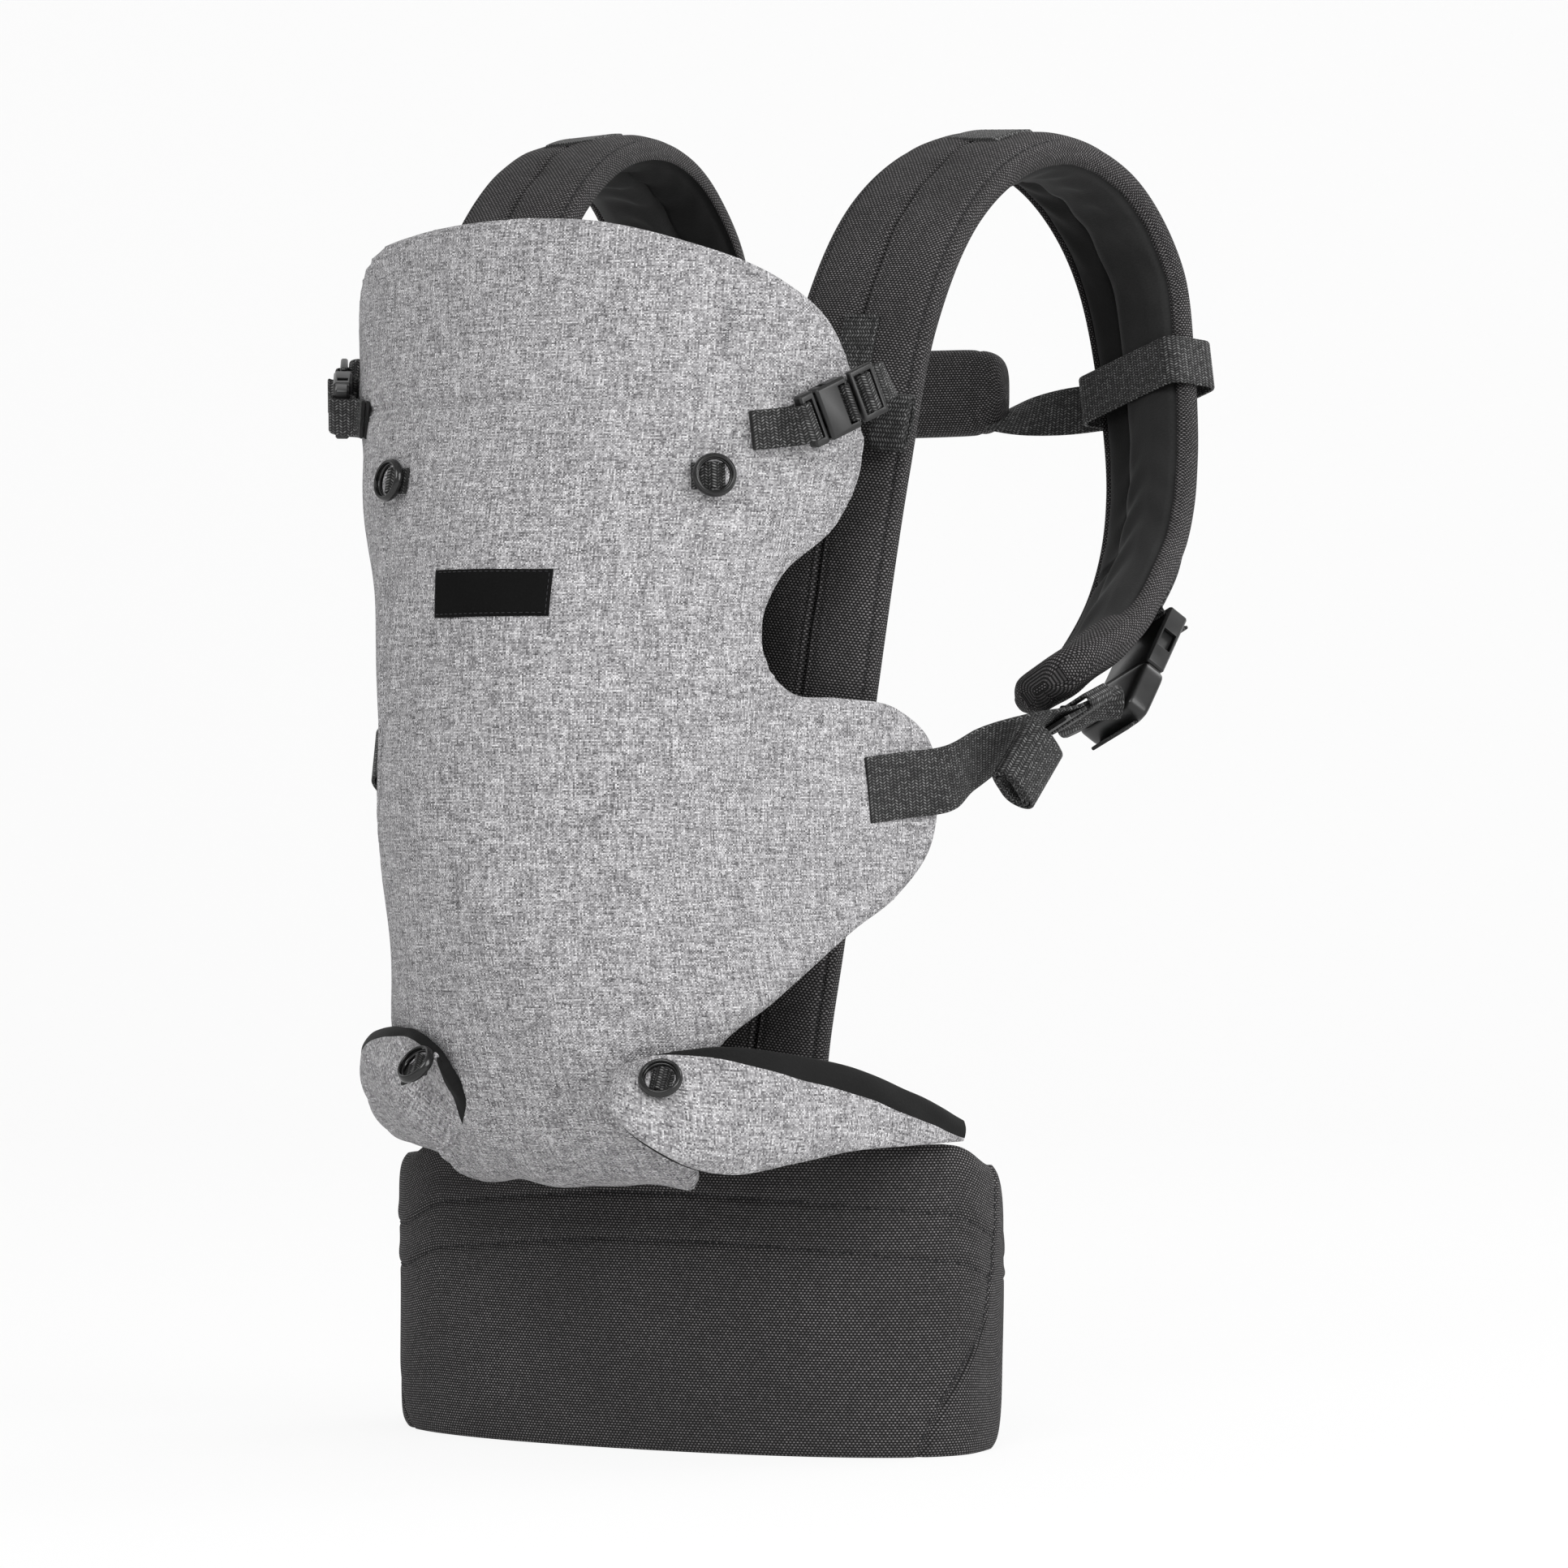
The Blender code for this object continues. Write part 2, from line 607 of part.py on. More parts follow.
def cutter(name, *boxes):
    bm = bmesh.new()
    for sizes in boxes:
        box(bm, *sizes)
    mesh = bpy.data.meshes.new(name)
    bm.to_mesh(mesh)
    bm.free()
    tool = bpy.data.objects.new(name, mesh)
    CUTTERS.objects.link(tool)
    tool.hide_render = True
    tool.display_type = "WIRE"
    return tool


def combine(piece, tool, operation):
    change = piece.modifiers.new(operation.lower(), "BOOLEAN")
    change.operation = operation
    change.solver = "EXACT"
    change.object = tool
    tool.matrix_world = piece.matrix_world
    return piece


def rounded(bm, radius):
    bmesh.ops.bevel(bm, geom=bm.edges[:], offset=radius, segments=1, affect="EDGES")


SOCKET_WALL = 0.0019
BUCKLE_HALF = 0.0045
BASE_STEP = 0.0013
BASE_HALF = BUCKLE_HALF - BASE_STEP
REAR_HALF = 0.0056
REAR_NOSE = 0.0120
SLOT = 0.0038
BAR = 0.0022


def socket_half(name, width, length, place, sign, thick=BUCKLE_HALF):
    """Socket half: a hollow body with side windows and a bar for its webbing."""
    half = width / 2 + 0.0036
    reach = length - SLOT - 2 * BAR
    bm = bmesh.new()
    box(bm, 0.0, length, -half, half, -thick, thick)
    rounded(bm, 0.0012)
    piece = placed(finish(name, bm, MOULDED, 0.35), *place, sign)
    inner = thick - SOCKET_WALL
    cavity = (-0.01, reach, -half + SOCKET_WALL, half - SOCKET_WALL, -inner, inner)
    window = (reach * 0.42, reach * 0.80, -half - 0.01, half + 0.01, -inner, inner)
    slot = (length - BAR - SLOT, length - BAR, -width / 2 - PLAY, width / 2 + PLAY, -0.02, 0.02)
    for label, sizes in (("cavity", cavity), ("window", window), ("slot", slot)):
        combine(piece, cutter(name + "_" + label, sizes), "DIFFERENCE")
    return piece


def base_length(bars):
    return (bars - 1) * SLOT + bars * BAR


def prong_half(name, width, length, bars, place, sign, thick=BUCKLE_HALF, nose=0.0):
    """Pronged half: two spring arms and a guide on a base with bars for webbing."""
    half = width / 2 + 0.0036
    reach = length - SLOT - 2 * BAR
    base = base_length(bars) + nose
    base_half = thick - BASE_STEP
    tongue = thick - SOCKET_WALL - PLAY
    arm = half - SOCKET_WALL - PLAY
    bm = bmesh.new()
    box(bm, -base - PLAY, -PLAY, -half, half, -base_half, base_half)
    rounded(bm, 0.0009)
    piece = placed(finish(name, bm, MOULDED, 0.35), *place, sign)
    tip = reach - 0.0015
    arms = [(-0.002, tip, arm - 0.0035, arm, -tongue, tongue),
            (-0.002, tip, -arm, -arm + 0.0035, -tongue, tongue),
            (-0.002, tip * 0.8, -0.0022, 0.0022, -tongue * 0.8, tongue * 0.8)]
    combine(piece, cutter(name + "_arms", *arms), "UNION")
    wide = width / 2 + PLAY
    slots = []
    for i in range(bars - 1):
        start = -base - PLAY + BAR + i * (SLOT + BAR)
        slots.append((start, start + SLOT, -wide, wide, -0.02, 0.02))
    combine(piece, cutter(name + "_slots", *slots), "DIFFERENCE")
    return piece


def slider(name, width, place, sign):
    """Flat adjuster with a middle bar."""
    half = width / 2 + 0.0034
    length = 2 * SLOT + 3 * BAR
    bm = bmesh.new()
    box(bm, 0.0, length, -half, half, -0.0017, 0.0017)
    rounded(bm, 0.0007)
    piece = placed(finish(name, bm, MOULDED, 0.35), *place, sign)
    wide = width / 2 + PLAY
    slots = [(BAR, BAR + SLOT, -wide, wide, -0.02, 0.02),
             (2 * BAR + SLOT, 2 * BAR + 2 * SLOT, -wide, wide, -0.02, 0.02)]
    combine(piece, cutter(name + "_slots", *slots), "DIFFERENCE")
    return piece


def strip(name, path, widths, width, sign, colour=WEBBING):
    """Webbing along a row of points; widths gives the direction of its width at each."""
    centre = [np.asarray(p, float) for p in path]
    across = [unit(w) for w in widths]

    def surface(a, i):
        point = centre[int(i)] + across[int(i)] * a
        return point if sign > 0 else mirrored(point)

    edges = (-width / 2, width / 2) if sign > 0 else (width / 2, -width / 2)
    return sheet(name, surface, edges, list(range(len(centre))), -WEB / 2, WEB / 2, colour)


def local(place, x, z, y=0.0):
    """Point of a buckle frame."""
    origin, e1, e2, e3 = place
    return origin + e1 * x + e2 * y + e3 * z


TURN_X = BAR / 2 + SLOT / 2 - 0.0001


def bar_turn(place, bar_x, away, half, first=105, last=-105):
    """Webbing round a bar: over its top, through the slot and out below it."""
    rise = half + 0.0024
    points = []
    for turn in np.linspace(first, last, 11):
        a = math.radians(turn)
        points.append(local(place, bar_x - away * TURN_X * math.cos(a), rise * math.sin(a)))
    return points


def roll(name, width, core, turns, flat, place, sign):
    """Rolled webbing tail, one flattened spiral whose turns come from its pitch."""
    steps = (0, 35, 70, 110, 145, 180, 215, 250, 290, 325)
    angles = [360 * k + a for k in range(int(turns) + 1) for a in steps]
    path = []
    for angle in angles:
        if angle > 360 * turns + 1:
            break
        a = math.radians(angle)
        r = core + ROLL_PITCH * angle / 360
        shift = 1.0 if math.cos(a) > 0 else -1.0
        path.append((r * math.cos(a) + shift * flat / 2, r * math.sin(a)))
    points = np.array(path)
    least = 1.0
    for i, point in enumerate(points):
        for j in range(i + 6, len(points) - 1):
            a, b = points[j], points[j + 1]
            u = min(max(np.dot(point - a, b - a) / np.dot(b - a, b - a), 0.0), 1.0)
            least = min(least, float(np.linalg.norm(point - a - u * (b - a))))
    print(name, "least gap between turns in mm:", round(1000 * (least - WEB), 2))
    origin, ex, ey, ez = place
    centre = [origin + ex * x + ez * z for x, z in path]
    return strip(name, centre, [ey] * len(centre), width, sign)


def band(name, ring, along, width, sign):
    """Webbing sewn into a closed loop round the ring of points."""
    bm = bmesh.new()
    along = np.asarray(along, float)
    rows = []
    for shift in (-width / 2, width / 2):
        row = [np.asarray(p, float) + along * shift for p in ring]
        if sign < 0:
            row = [mirrored(p) for p in row]
        rows.append([bm.verts.new(p) for p in row])
    n = len(ring)
    for i in range(n):
        j = (i + 1) % n
        bm.faces.new((rows[0][i], rows[0][j], rows[1][j], rows[1][i]))
    bmesh.ops.recalc_face_normals(bm, faces=bm.faces[:])
    return thicken(finish(name, bm, WEBBING), -WEB / 2, WEB / 2)


def round_rectangle(centre, e, f, half_e, half_f, radius):
    points = []
    for k, (se, sf) in enumerate(((1, 1), (-1, 1), (-1, -1), (1, -1))):
        for turn in (0, 45, 90):
            a = math.radians(turn + 90 * k)
            points.append(centre + e * (se * (half_e - radius) + radius * math.cos(a))
                          + f * (sf * (half_f - radius) + radius * math.sin(a)))
    return points


# Chest buckles between the panel's upper corners and the shoulder straps
CHEST_S = 0.140
CHEST_Q = 0.4270
CHEST_LIFT = 0.0122
LEFT_CHEST_RAISE = 0.011
CHEST_ANCHOR_HEIGHT = BELT_HEIGHT + 0.381
CHEST_ROLL_HEIGHT = BELT_HEIGHT + 0.336
chest_bar = -base_length(2) - PLAY + BAR / 2
chest_far = CHEST_SOCKET - BAR / 2
chest_slide = chest_far + BAR / 2 + 0.0035
CHEST_SEWN = (0.1120, 0.4190)
CHEST_TURN = (0.123, 0.4205)


def chest_raise(sign):
    """The left buckle is sewn higher than the right one."""
    return 0.0 if sign > 0 else LEFT_CHEST_RAISE


def chest_place(sign):
    """Frame of a chest buckle, leaning up from the panel's corner towards the strap."""
    origin, across, up, out = panel_frame(CHEST_S, CHEST_Q + chest_raise(sign), CHEST_LIFT)
    e1 = unit(across * 0.89 + up * 0.40 - out * 0.07)
    e3 = unit(out - e1 * float(np.dot(out, e1)))
    return origin, e1, np.cross(e3, e1), e3


def chest_tab(name, sign):
    low = PANEL_COVER + GAP + WEB / 2
    high = low + WEB + GAP
    place, lift = chest_place(sign), chest_raise(sign)
    sewn, corner = [(s, q + lift) for s, q in (CHEST_SEWN, CHEST_TURN)]
    path = [panel_frame(*sewn, high)[0], panel_frame(*corner, high)[0]]
    widths = [panel_frame(*sewn)[2], panel_frame(*corner)[2]]
    turn = bar_turn(place, chest_bar, -1, BASE_HALF)
    path += turn + [panel_frame(*corner, low)[0], panel_frame(*sewn, low)[0]]
    widths += [place[2]] * len(turn) + [widths[1], widths[0]]
    return strip(name, path, widths, CHEST_WEBBING, sign)


def chest_anchor(name, sign):
    """Webbing from the strap's middle seam through the adjuster and round the socket bar."""
    place = chest_place(sign)
    wide = -place[2]
    skin = STRAP_FOAM / 2 + CLOTH + 2 * GAP + WEB / 2
    top = strap_at(CHEST_ANCHOR_HEIGHT)
    path = [on_strap(top, 0.02, skin, sign), on_strap(top - 0.012, 0.16, skin + 0.001, sign)]
    widths = [strap_frame(top)[2] * 0.8 + strap_frame(top)[1] * 0.6] * 2
    end = chest_slide + 2 * SLOT + 3 * BAR
    path.append(local(place, end + 0.007, -0.0030))
    widths.append(widths[0] * 0.4 + wide * 0.6)
    under, over = -0.0030, 0.0031
    for x, z in ((end, under), (end - BAR - 0.0006, under), (end - BAR - SLOT + 0.0006, over),
                 (end - 2 * BAR - SLOT - 0.0006, over), (chest_slide + BAR + 0.0006, under),
                 (chest_slide, under)):
        path.append(local(place, x, z))
        widths.append(wide)
    turn = bar_turn(place, chest_far, 1, BUCKLE_HALF, -100, 80)
    return strip(name, path + turn, widths + [wide] * len(turn), CHEST_WEBBING, sign)


# Rear buckles lying behind the lower ends of the straps
rear_e1 = unit((0.05, 0.68, 0.73))
rear_side = np.array((0.55, 0.60, -0.58))
rear_out = unit(rear_side - rear_e1 * float(np.dot(rear_side, rear_e1)))
rear_e2 = np.cross(rear_out, rear_e1)
REAR_ORIGIN = strap_point(STRAP_LENGTH - 0.070, -0.10, 0.0262)
REAR_PLACE = (REAR_ORIGIN, rear_e1, rear_e2, rear_out)
rear_bar = -base_length(3) - REAR_NOSE - PLAY + BAR / 2
rear_far = HIP_SOCKET - BAR / 2
HIP_SEWN = ((0.1935, 0.2530), (0.215, 0.2555), (0.2400, 0.2585))
HIP_FREE = ((0.1520, -0.034, BELT_HEIGHT + 0.1805), (0.1620, -0.009, BELT_HEIGHT + 0.1910),
            (0.1720, 0.0205, BELT_HEIGHT + 0.2010), (0.1775, 0.0385, BELT_HEIGHT + 0.2080))
HIP_WIDE = ((0.25, -0.10, 0.95), (0.60, -0.20, 0.75), (0.865, -0.276, 0.417),
            (0.865, -0.276, 0.417))
GUIDE_WIDTH = 0.016


def hip_webbing(name, sign):
    lift = PANEL_COVER + 2 * GAP + WEB / 2
    path = [panel_frame(s, q, lift)[0] for s, q in HIP_SEWN]
    widths = [panel_frame(s, q)[2] for s, q in HIP_SEWN]
    path += [np.array(p) for p in HIP_FREE]
    widths += [np.array(w) for w in HIP_WIDE]
    return strip(name, path, widths, HIP_WEBBING, sign)


def hip_lead(name, sign):
    """Webbing on from the guide, round the ladder bar of the rear buckle and back."""
    start = np.array(HIP_FREE[-1])
    go = unit(start - np.array(HIP_FREE[-2]))
    wide = np.array(HIP_WIDE[-1])
    path = [start + go * 0.0016, local(REAR_PLACE, rear_bar - 0.012, -0.0110)]
    turn = bar_turn(REAR_PLACE, rear_bar, -1, REAR_HALF - BASE_STEP, -105, 105)
    path += turn + [local(REAR_PLACE, rear_bar - 0.012, 0.0020)]
    widths = [wide, wide * 0.5 + rear_e2 * 0.5] + [rear_e2] * len(turn) + [rear_e2]
    return strip(name, path, widths, HIP_WEBBING, sign)


def rear_anchor(name, sign):
    """Webbing sewn on the strap's outer face, then straight on to the socket bar."""
    turn = bar_turn(REAR_PLACE, rear_far, 1, REAR_HALF + 0.0006, -100, 80)
    skin = STRAP_FOAM / 2 + CLOTH + 2 * GAP + WEB / 2
    reach = STRAP_LENGTH - 0.145
    across = strap_frame(reach)[1]
    path = [strap_point(reach - 0.030, 0.05, skin), strap_point(reach - 0.014, 0.05, skin + 0.0004),
            strap_point(reach, 0.05, skin + 0.0012)]
    widths = [across, across, across * 0.8 + rear_e2 * 0.2]
    return strip(name, path + turn, widths + [rear_e2] * len(turn), HIP_WEBBING, sign)


def hip_guide(name, sign):
    """Loop of webbing round the hip webbing at the strap's lower end."""
    end = np.array(HIP_FREE[-1])
    go = unit(end - np.array(HIP_FREE[-2]))
    wide = unit(np.array(HIP_WIDE[-1]) - go * float(np.dot(HIP_WIDE[-1], go)))
    out = np.cross(wide, go)
    centre = end - go * (GUIDE_WIDTH / 2 + 0.0015)
    ring = round_rectangle(centre, wide, out, HIP_WEBBING / 2 + 0.0024, 0.0034, 0.0016)
    return band(name, ring, go, GUIDE_WIDTH, sign)


HIP_ROLL_AT = np.array((0.1735, -0.023, BELT_HEIGHT + 0.1780))
hip_roll_y = unit((0.25, 0.55, 0.80))
hip_roll_z = unit(np.cross((0.0, 0.82, -0.57), hip_roll_y))
HIP_ROLL_PLACE = (HIP_ROLL_AT, np.cross(hip_roll_y, hip_roll_z), hip_roll_y, hip_roll_z)
chest_roll_t = strap_at(CHEST_ROLL_HEIGHT)
chest_roll_frame = strap_frame(chest_roll_t)
CHEST_ROLL_LIFT = STRAP_FOAM / 2 + CLOTH + GAP + CHEST_ROLL_CORE + ROLL_PITCH * 1.5 + WEB

for side, sign in (("right", 1), ("left", -1)):
    chest_tab("chest_tab_" + side, sign)
    place = chest_place(sign)
    prong_half("chest_prongs_" + side, CHEST_WEBBING, CHEST_SOCKET, 2, place, sign)
    socket_half("chest_socket_" + side, CHEST_WEBBING, CHEST_SOCKET, place, sign)
    slide_place = (local(place, chest_slide, 0.0), *place[1:])
    slider("chest_adjuster_" + side, CHEST_WEBBING, slide_place, sign)
    chest_anchor("chest_anchor_" + side, sign)
    roll_place = (on_strap(chest_roll_t, 0.88, CHEST_ROLL_LIFT, sign), chest_roll_frame[2],
                  chest_roll_frame[1], chest_roll_frame[3])
    roll("chest_tail_" + side, CHEST_WEBBING, CHEST_ROLL_CORE, CHEST_ROLL_TURNS,
         CHEST_ROLL_FLAT, roll_place, sign)
    hip_webbing("hip_webbing_" + side, sign)
    hip_lead("hip_lead_" + side, sign)
    hip_guide("hip_guide_" + side, sign)
    prong_half("rear_prongs_" + side, HIP_WEBBING, HIP_SOCKET, 3, REAR_PLACE, sign, REAR_HALF,
               REAR_NOSE)
    socket_half("rear_socket_" + side, HIP_WEBBING, HIP_SOCKET, REAR_PLACE, sign, REAR_HALF)
    rear_anchor("rear_anchor_" + side, sign)
    roll("hip_tail_" + side, HIP_WEBBING, HIP_ROLL_CORE, HIP_ROLL_TURNS, HIP_ROLL_FLAT,
         HIP_ROLL_PLACE, sign)


# Strap across the back: padded middle, webbing and a loop round each shoulder strap
loop_t = strap_at(BELT_HEIGHT + 0.372, False)
loop_centre, loop_across, loop_along, loop_out = strap_frame(loop_t)
LOOP_HALF_WIDTH = STRAP_WIDTH / 2 + LOOP_SIDE
LOOP_HALF_DEPTH = STRAP_FOAM / 2 + CLOTH + GAP + LOOP_FACE
PAD_Y = float(loop_centre[1]) + 0.0221
PAD_Z = float(loop_centre[2])


def back_pad():
    """Cushion with a crowned face, drawn in at a stitched line near each end."""
    rings = []
    for x in (-1.0, -0.985, -0.93, -0.78, -0.68, -0.62, -0.5, 0.0, 0.5, 0.62, 0.68, 0.78, 0.93,
              0.985, 1.0):
        end = (1 - min(abs(x), 0.999) ** 7) ** 0.4
        high = BACK_PAD_HEIGHT / 2 * (0.25 + 0.75 * end)
        deep = BACK_PAD_THICKNESS / 2 * (0.12 + 0.88 * end)
        deep *= 0.86 if abs(abs(x) - 0.68) < 0.01 else 1.0
        ring = []
        for a in np.linspace(0, 2 * math.pi, 16, endpoint=False):
            c, s = math.cos(a), math.sin(a)
            y = math.copysign(abs(c) ** 0.75, c) * deep
            z = math.copysign(abs(s) ** 0.62, s) * high
            ring.append((x * BACK_PAD_LENGTH / 2, PAD_Y + y, PAD_Z + z))
        rings.append(ring)
    return loft("back_pad", rings, CANVAS)


back_pad()
for side, sign in (("right", 1), ("left", -1)):
    ring = round_rectangle(loop_centre, loop_across, loop_out, LOOP_HALF_WIDTH, LOOP_HALF_DEPTH,
                           0.006)
    loop = band("back_loop_" + side, ring, loop_along, BACK_WEBBING, sign)
    inner = loop_centre - loop_across * (LOOP_HALF_WIDTH - 0.2 * WEB) + loop_out * 0.004
    pad_end = np.array((BACK_PAD_LENGTH / 2 + GAP + 0.0004, PAD_Y, PAD_Z - 0.006))
    path = [inner + (pad_end - inner) * u for u in (0.0, 0.3, 0.65, 1.0)]
    tail = strip("back_tail_" + side, path, [-loop_along, -loop_along, (0, 0.5, 0.8), (0, 0.9, 0.4)],
                 BACK_WEBBING, sign)
    PARTS.objects.unlink(tail)
    CUTTERS.objects.link(tail)
    tail.hide_render = True
    tail.display_type = "WIRE"
    combine(loop, tail, "UNION")


# Belt webbing and the belt buckle at the back
BELT_BACK_Y = BELT_CENTRE_Y + BELT_BACK_DEPTH
belt_z = BELT_HEIGHT / 2
BELT_PLACE = (np.array((-0.006, BELT_BACK_Y, belt_z)), np.array((1.0, 0, 0)),
              np.array((0, 0, -1.0)), np.array((0, 1.0, 0)))
belt_far = BELT_SOCKET - BAR / 2
belt_bar = -base_length(3) - PLAY + BAR / 2


def belt_webbing(name, sign, turn, lead):
    """Webbing sewn on the belt's end, curving to the back and round its buckle bar."""
    skin = CLOTH + 2 * GAP + WEB / 2
    path = []
    for back in (0.18, 0.09, 0.0):
        angle = BELT_END - back
        path.append(belt_plan(angle) + belt_out(angle) * skin + np.array((0, 0, belt_z)))
    tip = path[-1]
    path.append(np.array((tip[0] * 0.90, tip[1] + (BELT_BACK_Y - tip[1]) * 0.42, belt_z)))
    path.append(np.array((tip[0] * 0.72, tip[1] + (BELT_BACK_Y - tip[1]) * 0.76, belt_z)))
    path.append(np.array((lead, BELT_BACK_Y - 0.0040, belt_z)))
    path = [p if sign > 0 else mirrored(p) for p in path] + turn
    return strip(name, path, [(0, 0, 1)] * len(path), BELT_WEBBING, 1)


prong_half("belt_prongs", BELT_WEBBING, BELT_SOCKET, 3, BELT_PLACE, 1)
socket_half("belt_socket", BELT_WEBBING, BELT_SOCKET, BELT_PLACE, 1)
belt_webbing("belt_webbing_right", 1, bar_turn(BELT_PLACE, belt_far, 1, BUCKLE_HALF, -100, 80), 0.062)
belt_webbing("belt_webbing_left", -1,
             bar_turn(BELT_PLACE, belt_bar, -1, BASE_HALF, -100, 80), 0.062)
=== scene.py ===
"""Looks of a soft baby carrier that stands on its hip belt: cloth, webbing, buckles and stitching.

Every piece is a surface worked out with numpy from the same sizes as the solids, in metres, with
+Z up and the front panel facing -Y. Cloth has a UV map in metres, so a weave keeps its real pitch.
"""
import json
import math

import bmesh
import bpy
import numpy as np
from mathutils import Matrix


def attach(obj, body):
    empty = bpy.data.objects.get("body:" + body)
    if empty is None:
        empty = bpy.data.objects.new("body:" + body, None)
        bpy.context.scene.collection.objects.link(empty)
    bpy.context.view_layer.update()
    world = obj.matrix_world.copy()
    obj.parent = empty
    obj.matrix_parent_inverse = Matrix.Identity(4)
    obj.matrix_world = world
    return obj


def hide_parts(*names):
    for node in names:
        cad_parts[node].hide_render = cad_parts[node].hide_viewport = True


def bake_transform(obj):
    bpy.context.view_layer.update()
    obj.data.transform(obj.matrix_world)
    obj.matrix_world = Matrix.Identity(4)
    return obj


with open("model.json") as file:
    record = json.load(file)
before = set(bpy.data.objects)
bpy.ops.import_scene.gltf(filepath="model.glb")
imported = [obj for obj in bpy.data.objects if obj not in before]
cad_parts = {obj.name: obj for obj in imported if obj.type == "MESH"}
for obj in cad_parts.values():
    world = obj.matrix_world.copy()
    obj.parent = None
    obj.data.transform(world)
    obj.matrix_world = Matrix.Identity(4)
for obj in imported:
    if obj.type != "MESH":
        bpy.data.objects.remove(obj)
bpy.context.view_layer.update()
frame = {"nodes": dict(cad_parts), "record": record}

# Camera at the photograph's angle, 3 m away, level with the middle of the panel
AIM = (0.0, 0.060, 0.315)
AWAY = 3.0
TURN = math.radians(28)
WIDTH_SEEN = 0.779
SENSOR = 36.0
lens = bpy.data.cameras.new("camera")
lens.sensor_width = SENSOR
lens.lens = SENSOR * AWAY / WIDTH_SEEN
lens.clip_end = 50.0
camera = bpy.data.objects.new("camera", lens)
camera.location = (AIM[0] + AWAY * math.sin(TURN), AIM[1] - AWAY * math.cos(TURN), AIM[2])
camera.rotation_euler = (math.radians(90), 0.0, TURN)
bpy.context.scene.collection.objects.link(camera)
bpy.context.scene.camera = camera
bpy.context.scene.view_settings.view_transform = "Standard"


# Curves and frames
def smooth(knots, values):
    """Cubic through the values with central slopes, worked out for a whole array of t at once."""
    k = np.asarray(knots, float)
    v = np.asarray(values, float).reshape(len(k), -1)
    slope = np.gradient(v, k, axis=0)

    def curve(t):
        t = np.clip(np.asarray(t, float), k[0], k[-1])
        i = np.clip(np.searchsorted(k, t, side="right") - 1, 0, len(k) - 2)
        h = (k[i + 1] - k[i])[..., None]
        u = (t - k[i])[..., None] / h
        low = (1 + 2 * u) * (1 - u) ** 2 * v[i] + u * (1 - u) ** 2 * h * slope[i]
        return low + u * u * (3 - 2 * u) * v[i + 1] + u * u * (u - 1) * h * slope[i + 1]

    return curve


def lengths(points):
    """Running length along a row of points."""
    p = np.asarray(points, float)
    return np.concatenate([[0.0], np.cumsum(np.linalg.norm(np.diff(p, axis=0), axis=1))])


def unit(v):
    """Vectors of length 1 with the same directions."""
    v = np.asarray(v, float)
    return v / np.maximum(np.linalg.norm(v, axis=-1, keepdims=True), 1e-12)


def step(low, high, x):
    """Smooth rise from 0 at low to 1 at high."""
    u = np.clip((x - low) / (high - low), 0.0, 1.0)
    return u * u * (3 - 2 * u)


def dip(x, width):
    """Rounded valley of depth 1 at x = 0."""
    return np.exp(-(x / width) ** 2)


def round_off(x, least=0.0):
    """Quarter circle: 1 up to x = 0, then down to the square root of least at x = 1."""
    return np.sqrt(np.clip(1 - np.clip(x, 0, 1) ** 2, least, 1))


def spread(*rows):
    """Arrays spread over one grid and stacked as its last axis."""
    return np.stack(np.broadcast_arrays(*rows), -1)


def upward(z):
    """Vectors straight up, z long."""
    return np.stack([0 * z, 0 * z, z], -1)


def box_path(count):
    """Once round a square, from -1 to 1 each way: the first way and the second."""
    walk = np.linspace(0, 4, count)
    return (np.interp(walk, range(5), (-1, 1, 1, -1, -1)), np.interp(walk, range(5), (-1, -1, 1, 1, -1)))


SIDES = (("right", 1), ("left", -1))


def hand(sign):
    """Factors that turn a point of the right side into one of the side with this sign."""
    return np.array((float(sign), 1.0, 1.0))


# Materials
class Wire:
    """A socket in a material's nodes; Python operators on it add Math nodes."""

    def __init__(self, finish, socket):
        self.finish = finish
        self.socket = socket

    def math(self, operation, *others):
        return self.finish.node("ShaderNodeMath", {"operation": operation}, [self, *others])

    def __add__(self, other):
        return self.math("ADD", other)

    def __sub__(self, other):
        return self.math("SUBTRACT", other)

    def __rsub__(self, other):
        return self.finish.node("ShaderNodeMath", {"operation": "SUBTRACT"}, [other, self])

    def __mul__(self, other):
        return self.math("MULTIPLY", other)

    def __truediv__(self, other):
        return self.math("DIVIDE", other)

    def __pow__(self, other):
        return self.math("POWER", other)

    __radd__ = __add__
    __rmul__ = __mul__

    def floor(self):
        return self.math("FLOOR")

    def fract(self):
        return self.math("FRACT")

    def mod(self, other):
        return self.math("FLOORED_MODULO", other)

    def hump(self):
        """1 in the middle of a cell whose fraction runs from 0 to 1, 0 at its sides."""
        return 1.0 - (self * 2.0 - 1.0) ** 2.0


